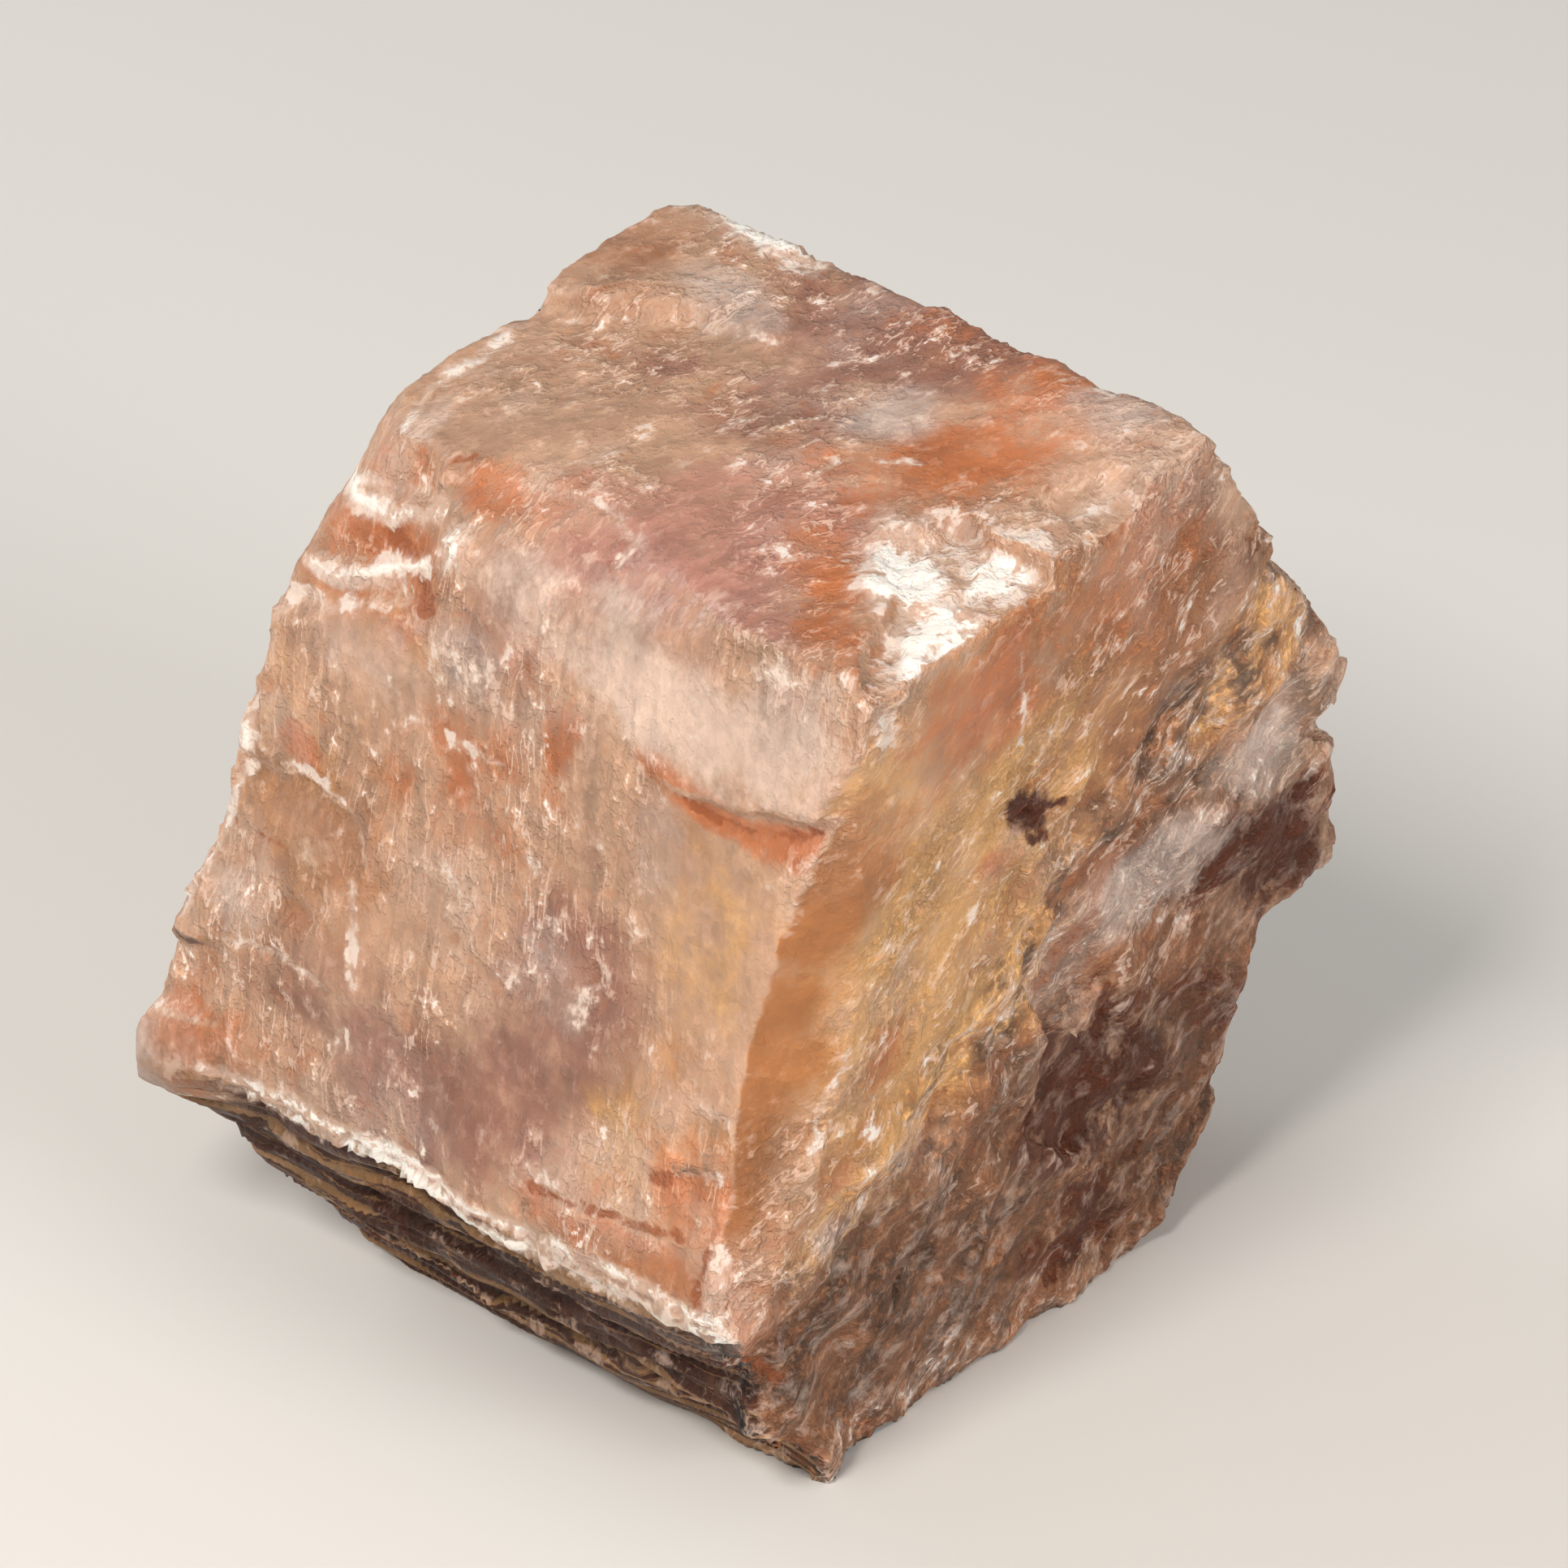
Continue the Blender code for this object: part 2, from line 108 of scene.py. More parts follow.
# Where each mineral shows, and where a face broke clean and stays smooth: the face, the middle across and up
# it, the half sizes, the turn in degrees and the strength.
STAINS = {
    "pink": (
        ("top", (-11, 11), (10, 6.5), -38, 1),
        ("top", (-5, 14.5), (6, 7), 40, 0.9),
        ("left", (-20, -2), (9, 3), 0, 0.6),
        ("left", (-19, -24), (4.5, 8), -12, 0.5),
        ("left", (-24, -6.5), (6, 3), 0, 0.4),
        ("right", (34, -13), (5, 4), 30, 0.5),
        ("undercut", (40, -5), (5, 6), 0, 0.6),
    ),
    "iron": (
        ("top", (4, 21), (7.5, 4.5), 20, 0.75),
        ("top", (9.5, 25.5), (4.5, 3.5), -30, 0.7),
        ("top", (-1.8, 8), (1.9, 8), 5, 0.9),
        ("top", (-18, 20.5), (4, 3), -20, 0.8),
        ("top", (-3.5, 0.5), (4, 2), 20, 0.6),
        ("top", (4.5, 33), (3.5, 4), 10, 0.4),
        ("left", (-34, -6), (5, 5), 0, 0.7),
        ("left", (-27, -0.5), (4, 1.8), 0, 0.7),
        ("left", (-26, -14), (7, 3.5), 10, 0.5),
        ("left", (-37.5, -17), (1.6, 1.2), 0, 0.8),
        ("left", (-42, -33.5), (3.5, 2), 0, 0.6),
        ("left", (-13, -33.3), (6.5, 1.3), 3, 1),
        ("left", (-9.5, -28.5), (3.8, 3), 0, 0.8),
        ("left", (-20, -8.5), (1.5, 3.2), -10, 0.6),
        ("right", (9.5, -4.5), (6.5, 4.5), 20, 0.85),
        ("right", (21.5, -3), (5, 6), 30, 0.5),
        ("right", (6.5, -23.5), (2.5, 3.5), 0, 0.5),
        ("right", (1, -38), (4.5, 3), -30, 0.7),
        ("right", (-4.5, -30), (2.5, 4), 10, 0.6),
        ("undercut", (42, -4), (4, 5), 0, 0.8),
        ("right", (42, -26.5), (2.5, 3), 0, 0.5),
        ("right", (13.6, -16.2), (2.2, 1.4), -30, 0.7),
    ),
    "resin": (
        ("right", (41, -30), (3, 5), -30, 0.5),
        ("right", (27, -43), (5, 4), 0, 0.4),
        ("left", (-12.5, -33.6), (6, 1.2), 3, 0.7),
    ),
    "mauve": (
        ("top", (2, 33), (8, 6), -40, 1),
        ("top", (-3, 27), (6, 5), 20, 0.6),
        ("top", (-10, 31), (4, 3), 0, 0.4),
        ("top", (7, 31), (4, 6), -40, 1.1),
        ("left", (-18.5, -24), (5, 7.5), -12, 0.7),
        ("left", (-12.5, -13), (3, 3.5), 0, 0.5),
        ("left", (-27, -31), (7, 4.5), 0, 0.9),
        ("left", (-34, -29), (6, 4), 0, 0.5),
        ("left", (-27, -7.5), (3.5, 2), -30, 0.4),
    ),
    "bark": (
        ("top", (-12, 42), (4, 4), 0, 0.5),
        ("left", (-36, -21), (5, 4), 0, 0.8),
        ("left", (-44, -35.5), (4.5, 3), 0, 0.9),
        ("right", (22, -8), (9, 12), 35, 1),
        ("right", (34, -14), (9, 9), 0, 0.2),
        ("left", (-10.5, -25), (4.5, 3.5), 0, 0.45),
        ("right", (27, -24), (10, 7), 0, 0.8),
        ("right", (36, -38), (8, 14), 0, 0.9),
        ("right", (20, -40), (14, 14), 0, 0.8),
        ("right", (-2, -40), (6, 7), 0, 0.8),
        ("right", (6, -48), (12, 7), 0, 0.8),
    ),
    "honey": (
        ("right", (9, -16), (13, 9), 25, 0.8),
        ("right", (2.5, -8.5), (4, 5), 30, 1),
        ("right", (8.5, -4.5), (7, 4), 20, 0.75),
        ("right", (33, -12.5), (5.5, 4.5), 30, 0.55),
        ("right", (11, -25.5), (10, 5), 15, 0.8),
        ("right", (5, -33), (6, 5), 0, 0.6),
        ("left", (-9.5, -16), (5.5, 7), 0, 0.35),
        ("left", (-10, -25.5), (5, 4), 0, 0.35),
        ("left", (-12.5, -28), (4, 3.5), 0, 0.6),
        ("left", (-33, -8), (5, 3), 0, 0.5),
        ("left", (-37, -20), (6, 9), 0, 0.25),
    ),
    "smoke": (
        ("right", (9, -40), (10, 7.5), -10, 1),
        ("right", (21, -41), (7, 7), 0, 0.9),
        ("right", (18, -32.5), (5, 3.5), 0, 0.6),
        ("right", (35, -39), (8, 11), 0, 1),
        ("right", (28, -12), (3, 2), 30, 0.5),
        ("undercut", (14, -6), (26, 12), 0, 1),
    ),
    "amber": (
        ("right", (26.5, -35), (8.5, 5), -25, 1.05),
        ("right", (39, -27.5), (7, 4.2), -25, 1.05),
        ("right", (28, -43.5), (5.5, 4.5), 0, 0.7),
        ("right", (36, -35), (5, 3), -40, 0.6),
        ("right", (30.5, -6.5), (2, 4), 30, 0.35),
        ("undercut", (10, -6), (28, 12), -2, 0.6),
    ),
    "haze": (
        ("left", (-36, -21.2), (3.6, 2.4), 0, 0.35),
        ("left", (-40.5, -26), (2.8, 1.8), 0, 0.6),
        ("left", (-27, -8.5), (3.5, 2.2), -20, 0.6),
        ("left", (-33.5, -10.5), (4.5, 2.4), 0, 0.5),
        ("left", (-13, -13.5), (2.2, 3.2), 0, 0.5),
        ("right", (30, -24.5), (5.5, 2.8), -10, 1.3),
        ("right", (37, -20.5), (3.5, 3), 20, 0.9),
        ("top", (1, 25), (3.2, 2.4), 40, 0.8),
        ("top", (11.5, 23), (2.5, 3), 0, 0.7),
        ("top", (-6.5, 36.5), (2.2, 4), 20, 0.7),
        ("left", (-20, -22), (3, 3), 0, 0.5),
        ("left", (-41.5, -35), (5.5, 3), 0, 0.3),
        ("left", (-46.5, -36.5), (2, 4), 0, 0.8),
    ),
    "milk": (
        ("left", (-13.5, -5.5), (10, 2.8), -5, 1),
        ("left", (-5.5, -4.5), (4.5, 3.5), 20, 0.9),
        ("left", (-24.5, -3.5), (4.5, 1.6), 0, 0.7),
        ("left", (-34.5, -3.5), (3.5, 0.8), 8, 0.9),
        ("left", (-35.5, -7.4), (3.5, 0.7), 10, 0.9),
        ("left", (-36, -12), (3, 1.2), 0, 0.3),
        ("top", (-17, 31), (5, 6), 30, 0.25),
        ("top", (-20.5, 28), (1.2, 3), -25, 0.6),
        ("right", (4.2, -32.3), (1.6, 0.9), -20, 1),
    ),
    "crush": (
        ("top", (1.2, 11), (2, 4.5), 0, 1.7),
        ("top", (2.8, 4.5), (2.2, 5.2), -8, 1.55),
        ("top", (5.2, 11.5), (2.8, 1.6), 45, 1.5),
        ("top", (4, 14.6), (2.2, 1.2), 50, 0.8),
        ("top", (0.8, 0), (1, 2.2), -15, 0.9),
        ("top", (9.9, 16.4), (2.6, 1.1), 25, 1),
        ("top", (7.3, 12.9), (0.9, 1), 0, 0.9),
        ("top", (-5, 2.6), (1.5, 0.9), 20, 1),
        ("top", (-4.8, 42.6), (4.6, 1.3), -47, 1.3),
        ("top", (-16.8, 37.4), (1.5, 0.6), 45, 0.8),
        ("top", (-21.6, 22.4), (1.3, 0.6), 10, 0.9),
        ("top", (-2.2, 20.4), (0.9, 0.4), 10, 0.7),
        ("top", (3.6, 29.6), (1.1, 0.3), 15, 0.7),
        ("top", (-8.9, 21.5), (0.6, 0.5), 0, 0.7),
        ("top", (-12, 15.6), (0.9, 0.3), 45, 0.6),
        ("top", (-6.3, 34.2), (1.2, 0.8), -35, 0.6),
        ("left", (-28.7, -3.2), (0.9, 1.6), -25, 1.2),
        ("left", (-6.8, -1.7), (1.3, 0.7), 15, 0.8),
        ("left", (-21.7, -14.2), (1.1, 1.1), -20, 0.65),
        ("left", (-17.6, -22), (0.8, 1.8), -30, 0.55),
        ("left", (-41.5, -18), (0.7, 2.2), 0, 1.1),
        ("left", (-21.5, -16.6), (0.6, 0.8), 0, 0.6),
        ("left", (-27, -9.5), (2.2, 1.4), 20, 0.4),
        ("left", (-31, -12.5), (2, 1.8), 0, 0.4),
        ("left", (-25.5, -20.5), (1.6, 1.8), 0, 0.42),
        ("left", (-22.5, -22.5), (1.4, 1.4), 0, 0.42),
        ("left", (-14.5, -17.6), (1.2, 0.9), 0, 0.45),
        ("left", (-33, -31), (2, 1.4), 0, 0.4),
        ("left", (-17.8, -31.4), (1.2, 0.5), 0, 0.9),
        ("left", (-6.9, -32.6), (1.1, 1.5), 0, 0.75),
        ("left", (-8.5, -24.4), (1.6, 0.5), 8, 1),
        ("left", (-8.2, -27.2), (1.5, 0.45), 20, 1),
        ("right", (1.4, -2.6), (0.8, 1.6), 10, 1),
    ),
    "smooth": (
        ("top", (-11.5, 11), (9, 5.5), -38, 0.95),
        ("top", (-18, 27), (4, 6), 20, 0.6),
        ("top", (-12.5, 42.5), (3.5, 3.5), 0, 0.7),
        ("top", (3.5, 20.5), (6, 3), 20, 0.6),
        ("left", (-9.5, -16.5), (5.5, 9), 0, 0.9),
        ("left", (-12, -5), (12, 3), -5, 0.75),
        ("left", (-36.5, -21.3), (4, 2.6), 0, 0.9),
        ("left", (-32, -10), (5, 2.5), 0, 0.7),
        ("left", (-42.5, -35.5), (4.5, 2.5), 0, 0.8),
        ("left", (-21, -27), (4, 6), 0, 0.5),
        ("right", (0, -18), (4.2, 15), -18, 1),
        ("right", (7, -6), (9, 5), 10, 0.85),
        ("right", (11, -25.5), (8, 4), 15, 0.6),
        ("right", (38.5, -27), (5.5, 4.5), -25, 0.8),
        ("right", (26, -34.5), (7, 5), -25, 0.9),
        ("right", (37.5, -18.5), (4, 3.5), 0, 0.6),
    ),
}

# Where a face's steps fade out: the middle, the half sizes, the turn and the share of the step that goes.
FADED_STEPS = {
    "left": (
        ((-21, -8.5), (11.5, 6.5), 5, 1),
        ((-36, -22), (5.5, 4.5), 0, 0.6),
        ((-37, -28.5), (8, 3), 0, 0.9),
        ((-14, -33.5), (9, 3), 0, 0.9),
        ((-9, -26.8), (4, 3), 0, 0.4),
        ((-37, -31.5), (6.5, 3.5), 0, 0.6),
    ),
    "undercut": (
        ((1, -1.2), (4.5, 2.4), 0, 1),
    ),
}

# Where the stone swells: the face, the middle, the half sizes, the turn and the height in millimetres.
SWELLS = (
    ("undercut", (0.8, -0.8), (3.5, 2.2), 0, 0.9),
    ("top", (5, 31), (9, 3.5), -53.5, 0.55),
)

# Lines along which the stone is broken: the face, the points, the half width and the strength. Crush lines
# are white rims, rust lines are stained cracks, and the others are bands of a mineral.
LINES = {
    "iron": (
        ("left", ((-13.8, -8.6), (-9, -9.8), (-6.5, -9.8), (-2.5, -8.6)), 0.9, 0.9),
    ),
    "resin": (
        ("right", ((1.8, -10), (0.6, -13), (-1, -18), (-2.2, -24), (-3.5, -30)), 3, 0.85),
    ),
    "amber": (
        ("right", ((14.3, -13.4), (15.3, -14.4), (16.2, -15.6)), 0.75, 0.95),
        ("right", ((15.5, -14.4), (17, -14.1), (18.3, -14.8)), 0.25, 0.9),
        ("right", ((15.8, -15.2), (17.4, -16.3)), 0.25, 0.9),
    ),
    "crush": (
        ("left", ((-42, -35.6), (-40, -35.5), (-30, -35.3), (-20, -35.6), (-10, -34.9), (-5, -34.6)),
         0.42, 1.15),
        ("undercut", ((5, 0.2), (10, 0.4), (20, 0.6), (36, 1.1), (42, 1.4)), 0.45, 1.2),
        ("undercut", ((0.5, -1.6), (2.5, -1.5), (5, -1)), 0.3, 0.9),
        ("left", ((-38.5, -3.6), (-34.5, -4), (-30.5, -2.4)), 0.45, 1.15),
        ("left", ((-39, -7.8), (-34.5, -7), (-30.5, -5)), 0.4, 1.1),
        ("left", ((-39.5, -10.2), (-36, -9.3), (-31.5, -7.4)), 0.35, 0.74),
        ("left", ((-38.5, -18.7), (-35.5, -18.2), (-33.2, -19.3), (-32.5, -21)), 0.16, 0.81),
        ("left", ((-32.9, -22.6), (-32.4, -25), (-32, -27.8)), 0.3, 0.74),
        ("left", ((-41, -28.3), (-36, -27.8), (-32.5, -28.4)), 0.2, 0.68),
        ("left", ((-44.5, -28), (-43.3, -24.5), (-42, -20)), 0.3, 1),
        ("left", ((-27.5, -12.6), (-24, -12.5)), 0.25, 0.6),
        ("top", ((-21, 24), (-20, 17.3), (-17.5, 13.7), (-14.5, 11), (-11, 8), (-7.5, 4.5), (-5, 2)),
         0.3, 0.94),
        ("top", ((-16.5, 37), (-20, 31.5), (-23, 26.5), (-24, 22.5)), 0.4, 1),
        ("top", ((-15, 36.8), (-12.5, 37), (-10, 35.2), (-8.5, 36.2), (-6.5, 34.6), (-4.7, 32.3)), 0.2, 0.7),
        ("top", ((-1.8, 20.4), (1.8, 20.1)), 0.25, 0.81),
        ("top", ((10.8, 26.5), (11.4, 23), (12.4, 20)), 0.3, 0.74),
        ("top", ((-15.3, 20), (-12.5, 18), (-11, 15)), 0.18, 0.68),
        ("right", ((2.9, -21.5), (2, -25), (1.2, -28)), 0.2, 0.61),
        ("right", ((12, -3), (14, -9)), 0.15, 0.54),
    ),
    "rust": (
        ("left", ((-12.8, -9.4), (-9, -9.9), (-6.5, -9.4), (-2.5, -8.1)), 0.2, 0.8),
        ("left", ((-18.5, -32.2), (-15, -31.8), (-12.5, -31.9), (-9.5, -31.2)), 0.26, 0.7),
        ("left", ((-8, -31.5), (-8.2, -34), (-6.5, -34.8), (-5.3, -33)), 0.22, 0.8),
        ("left", ((-12.2, -28.7), (-10.6, -28.3)), 0.4, 1),
        ("left", ((-34, -5), (-30.3, -5.6), (-29.8, -7)), 0.4, 0.7),
        ("left", ((-22, -5.5), (-22.6, -7.5), (-21.8, -8.5)), 0.3, 0.5),
        ("left", ((-43, -22.6), (-40, -22.9), (-38, -22.7)), 0.18, 0.7),
        ("top", ((-24, 25.5), (-21.5, 24), (-18.5, 23.8)), 0.2, 0.7),
        ("right", ((16.6, -15.6), (18.3, -16.8)), 0.2, 0.5),
        ("right", ((-6, -38.5), (-2, -40), (1.5, -41.5)), 0.2, 0.7),
        ("right", ((0, -39.5), (3.5, -41)), 0.25, 0.8),
    ),
}

# The dark pit in the right face and the rounded corner at the left foot: the middle, half sizes and turn.
DARK_PIT = ((15.5, -14.2), (1.6, 1.2), -35)
NOSE = ((1.6, -0.8), (3.8, 1.8), 0)

# What the material reads at each vertex: the minerals' masks, plain values and places in millimetres.
MASKS = (
    "pink", "mauve", "bark", "honey", "iron", "resin", "haze", "smoke", "amber", "milk", "crush", "rust",
)
SURFACE_VALUES = (
    "rind", "flaky", "crinkled", "raised", "strata", "edge", "lumps", "drift", "wander", "combed",
    "undercut_share",
)
SURFACE_PLACES = ("grain", "flaked", "upright")

# Sizes of the stone's finest patterns, in millimetres. The real grit and crumbs are about 0.1 to 0.3 mm, too
# fine to show, so they are drawn this coarse.
GRIT = 0.5
STREAK_WIDTH = 0.7
STREAK_LENGTH = 6.0
FROST = 1.2
CRUMB = 0.65
FLECK = 0.8
FLECK_LENGTH = 3.2
LAYER = 0.8

# How clear the stone is: the share of light that enters it, and how far each colour travels in it.
INNER_LIGHT = 0.45
LIGHT_REACH = (1.0, 0.5, 0.3)
LIGHT_DEPTH = 0.9
# Aragonite's IOR runs from 1.53 to 1.69.
STONE_IOR = 1.6

# Places and sizes of the stage, in metres.
STONE_MIDDLE = (0.002, 0.003, 0.025)
FLOOR_HALF_SIZE = 2.0
FLOOR_ROUGHNESS = 0.7
WORLD_COLOUR = (1.0, 0.97, 0.94, 1.0)
WORLD_STRENGTH = 0.3
KEY_COLOUR = (1.0, 0.97, 0.93)
WHITE = (1.0, 1.0, 1.0)
CAMERA_TARGET = (0.0021, 0.0008, 0.0305)
SENSOR_WIDTH = 36.0
LENS = 271.3

# The kinds of node that the stone's material uses most.
MATH, VECTOR, MIX = "ShaderNodeMath", "ShaderNodeVectorMath", "ShaderNodeMix"
RANGE, NOISE, CELLS = "ShaderNodeMapRange", "ShaderNodeTexNoise", "ShaderNodeTexVoronoi"
SMOOTH = {"interpolation_type": "SMOOTHSTEP"}


class StoneShape(bpy.types.PropertyGroup):
    """Sizes of the stone's surface."""

    fineness: FloatProperty(
        name="Fineness", description="Spacing of the surface's points", default=0.4 * MM, min=0.2 * MM,
        subtype="DISTANCE", unit="LENGTH", precision=5,
    )
    flake_height: FloatProperty(
        name="Flake Height", description="Thickness of the thin flakes on the cleavage faces",
        default=0.11 * MM, subtype="DISTANCE", unit="LENGTH", precision=5,
    )
    striation_height: FloatProperty(
        name="Striation Height", description="Depth of the fine striations on the left face",
        default=0.06 * MM, subtype="DISTANCE", unit="LENGTH", precision=5,
    )
    crush_height: FloatProperty(
        name="Crush Height", description="How far the crumbs stand up where the stone is crushed",
        default=0.4 * MM, subtype="DISTANCE", unit="LENGTH", precision=5,
    )
    rind_height: FloatProperty(
        name="Rind Height", description="Roughness of the weathered rind",
        default=0.24 * MM, subtype="DISTANCE", unit="LENGTH", precision=5,
    )
    edge_wear: FloatProperty(
        name="Edge Wear", description="How far the edges are nibbled away",
        default=0.2 * MM, subtype="DISTANCE", unit="LENGTH", precision=5,
    )


class StoneColours(bpy.types.PropertyGroup):
    """The minerals' colours."""

    body: FloatVectorProperty(
        name="Body", description="Cloudy carbonate, most of the stone", default=linear("#b99277"),
        subtype="COLOR", min=0.0, max=1.0,
    )
    pink: FloatVectorProperty(
        name="Pink", description="Rosy, cloudier zones", default=linear("#b17d6c"), subtype="COLOR",
        min=0.0, max=1.0,
    )
    iron: FloatVectorProperty(
        name="Iron", description="Zones stained orange by iron", default=linear("#b56d43"), subtype="COLOR",
        min=0.0, max=1.0,
    )
    resin: FloatVectorProperty(
        name="Resin", description="Clear, deep orange bands", default=linear("#9c6235"), subtype="COLOR",
        min=0.0, max=1.0,
    )
    honey: FloatVectorProperty(
        name="Honey", description="Clearer yellow zones", default=linear("#cc9a63"), subtype="COLOR",
        min=0.0, max=1.0,
    )
    mauve: FloatVectorProperty(
        name="Mauve", description="Dull rose-brown zones", default=linear("#8e6352"), subtype="COLOR",
        min=0.0, max=1.0,
    )
    bark: FloatVectorProperty(
        name="Bark", description="Brown weathered carbonate", default=linear("#9e6c4c"), subtype="COLOR",
        min=0.0, max=1.0,
    )
    smoke: FloatVectorProperty(
        name="Smoke", description="Grey and purple weathered rind", default=linear("#7b5339"),
        subtype="COLOR", min=0.0, max=1.0,
    )
    amber: FloatVectorProperty(
        name="Amber", description="Dark, glassy brown zones", default=linear("#4e1e00"), subtype="COLOR",
        min=0.0, max=1.0,
    )
    haze: FloatVectorProperty(
        name="Haze", description="Greyish veils", default=linear("#bba89d"), subtype="COLOR",
        min=0.0, max=1.0,
    )
    milk: FloatVectorProperty(
        name="Milk", description="Cream-coloured, fractured zones", default=linear("#cfb2a0"),
        subtype="COLOR", min=0.0, max=1.0,
    )
    crush: FloatVectorProperty(
        name="Crush", description="White, crushed stone", default=linear("#f2ebe2"), subtype="COLOR",
        min=0.0, max=1.0,
    )
    rust: FloatVectorProperty(
        name="Rust", description="Stain in cracks and pits", default=linear("#8f4a22"), subtype="COLOR",
        min=0.0, max=1.0,
    )


class StageSetting(bpy.types.PropertyGroup):
    """The floor, the lights and the camera."""

    floor: FloatVectorProperty(
        name="Floor", description="Colour of the floor", default=linear("#d9d6d1"), subtype="COLOR",
        min=0.0, max=1.0,
    )
    key_power: FloatProperty(
        name="Key Power", description="Power of the soft light above the front", default=4.4, min=0.0,
        subtype="POWER", unit="POWER",
    )
    fill_power: FloatProperty(
        name="Fill Power", description="Power of the soft light at the right", default=3.1, min=0.0,
        subtype="POWER", unit="POWER",
    )
    back_power: FloatProperty(
        name="Back Power", description="Power of the soft light behind the stone", default=1.5, min=0.0,
        subtype="POWER", unit="POWER",
    )
    camera_distance: FloatProperty(
        name="Camera Distance", description="From the camera to the stone's middle", default=0.56,
        subtype="DISTANCE", unit="LENGTH",
    )
    camera_rise: FloatProperty(
        name="Camera Rise", description="How steeply the camera looks down", default=math.radians(28.5),
        subtype="ANGLE", unit="ROTATION",
    )


def smooth_between(low, high, values):
    """0 at low, 1 at high, and an even rise between them. Low may be above high."""
    share = np.clip((values - low) / (high - low), 0.0, 1.0)
    return share * share * (3.0 - 2.0 * share)


def hashed(cells, seed):
    """A fixed number from 0 to 1 for each whole-numbered cell."""
    mixed = (cells[:, 0] * 73856093) ^ (cells[:, 1] * 19349663) ^ (cells[:, 2] * 83492791)
    mixed = (mixed ^ (seed * 2654435761)) & 0xFFFFFFFF
    for _ in range(2):
        mixed = ((mixed ^ (mixed >> 15)) * 0x2C1B3C6D) & 0xFFFFFFFF
    return ((mixed ^ (mixed >> 13)) & 0xFFFFFF) / 0xFFFFFF


def cloud(points, size, seed, octaves=1):
    """Smooth noise from about -1 to 1, in lumps of this size, with finer octaves added."""
    total = np.zeros(len(points))
    for octave in range(octaves):
        place = points / size * 2**octave
        cell = np.floor(place).astype(np.int64)
        inside = place - cell
        fade = inside**3 * (inside * (inside * 6.0 - 15.0) + 10.0)
        level = np.zeros(len(points))
        for corner in itertools.product((0, 1), repeat=3):
            slope = [hashed(cell + corner, seed + 7 * octave + axis) * 2.0 - 1.0 for axis in range(3)]
            rise = np.einsum("ij,ji->i", inside - corner, np.array(slope))
            level += rise * np.prod(np.where(corner, fade, 1.0 - fade), axis=1)
        total += level * 1.6 / 2**octave
    return total


def crumbs(points, size, seed):
    """Broken crumbs of this size, each with one tilted flat face: their height, from about -1 to 1."""
    place = points / size
    cell = np.floor(place).astype(np.int64)
    nearest = np.full(len(points), np.inf)
    height = np.zeros(len(points))
    for step in itertools.product((-1, 0, 1), repeat=3):
        corner = cell + step
        middle = corner + np.stack([hashed(corner, seed + axis) for axis in range(3)], 1)
        offset = place - middle
        distance = (offset**2).sum(1)
        tilt = np.stack([hashed(corner, seed + 3 + axis) * 2.0 - 1.0 for axis in range(3)], 1)
        facet = (offset * tilt).sum(1) + hashed(corner, seed + 6) - 0.5
        height = np.where(distance < nearest, facet, height)
        nearest = np.minimum(distance, nearest)
    return height


def bearing_vector(direction):
    """The unit vector of a bearing and rise given in degrees."""
    bearing, rise = (math.radians(angle) for angle in direction)
    return np.array((math.cos(bearing) * math.cos(rise), math.sin(bearing) * math.cos(rise), math.sin(rise)))


def along_grain(points):
    """Each point's place along the grain, across it and out of it."""
    along = bearing_vector(GRAIN)
    across = np.cross((0.0, 0.0, 1.0), along)
    across /= np.linalg.norm(across)
    return np.stack((points @ along, points @ across, points @ np.cross(along, across)), 1)


class Face:
    """A face of the block, with its origin and its directions across, up and out."""

    def __init__(self, name):
        origin, direction = FACES[name]
        self.origin = np.array(origin)
        self.out = bearing_vector(direction)
        self.across = np.array((1.0, 0.0, 0.0)) if name == "top" else np.cross((0.0, 0.0, 1.0), self.out)
        self.across -= self.out * (self.across @ self.out)
        self.across /= np.linalg.norm(self.across)
        self.up = np.cross(self.out, self.across)

    def places(self, points):
        """The points' places across the face, up it and out of it."""
        offsets = points - self.origin
        return np.stack((offsets @ self.across, offsets @ self.up, offsets @ self.out), 1)


def rind_share(points, setback=0.0):
    """How much of a rind each point carries: as the solid was made, or set back on the right face."""
    across, up, out = Face("right").places(points).T
    on_face = smooth_between(30.0, 36.0, across - RIND_SLANT * up - setback)
    on_face *= smooth_between(-4.0, -1.5, out)
    at_back = smooth_between(8.0, 20.0, points[:, 1])
    below_top = 1.0 - smooth_between(44.0, 46.5, points[:, 2])
    return np.maximum(on_face, at_back) * below_top


def waves(points):
    """How far the waves shift each point of the plain block, as the solid was made."""
    noise.seed_set(WAVE_SEED)
    whole = np.ones(len(points))
    shift = np.zeros_like(points)
    parts = ((BROAD_WAVE, whole), (FINE_WAVE, whole), (RIND_WAVE, rind_share(points)))
    for (length, height), share in parts:
        swings = [noise.noise_vector(place) for place in points / length + (length, 0.0, 0.0)]
        shift += np.array(swings) * (share * height)[:, None]
    return shift


def without_waves(points):
    """The points' places on the plain block, before it was waved."""
    plain = points.copy()
    for _ in range(UNWAVE_ROUNDS):
        plain = points - waves(plain)
    return plain


def mesh_points(mesh):
    """The places of a mesh's vertices, in millimetres."""
    flat = np.empty(len(mesh.vertices) * 3)
    mesh.vertices.foreach_get("co", flat)
    return flat.reshape(-1, 3) / MM


def set_mesh_points(mesh, points):
    """Move a mesh's vertices to places in millimetres."""
    mesh.vertices.foreach_set("co", (points * MM).ravel())
    mesh.update()


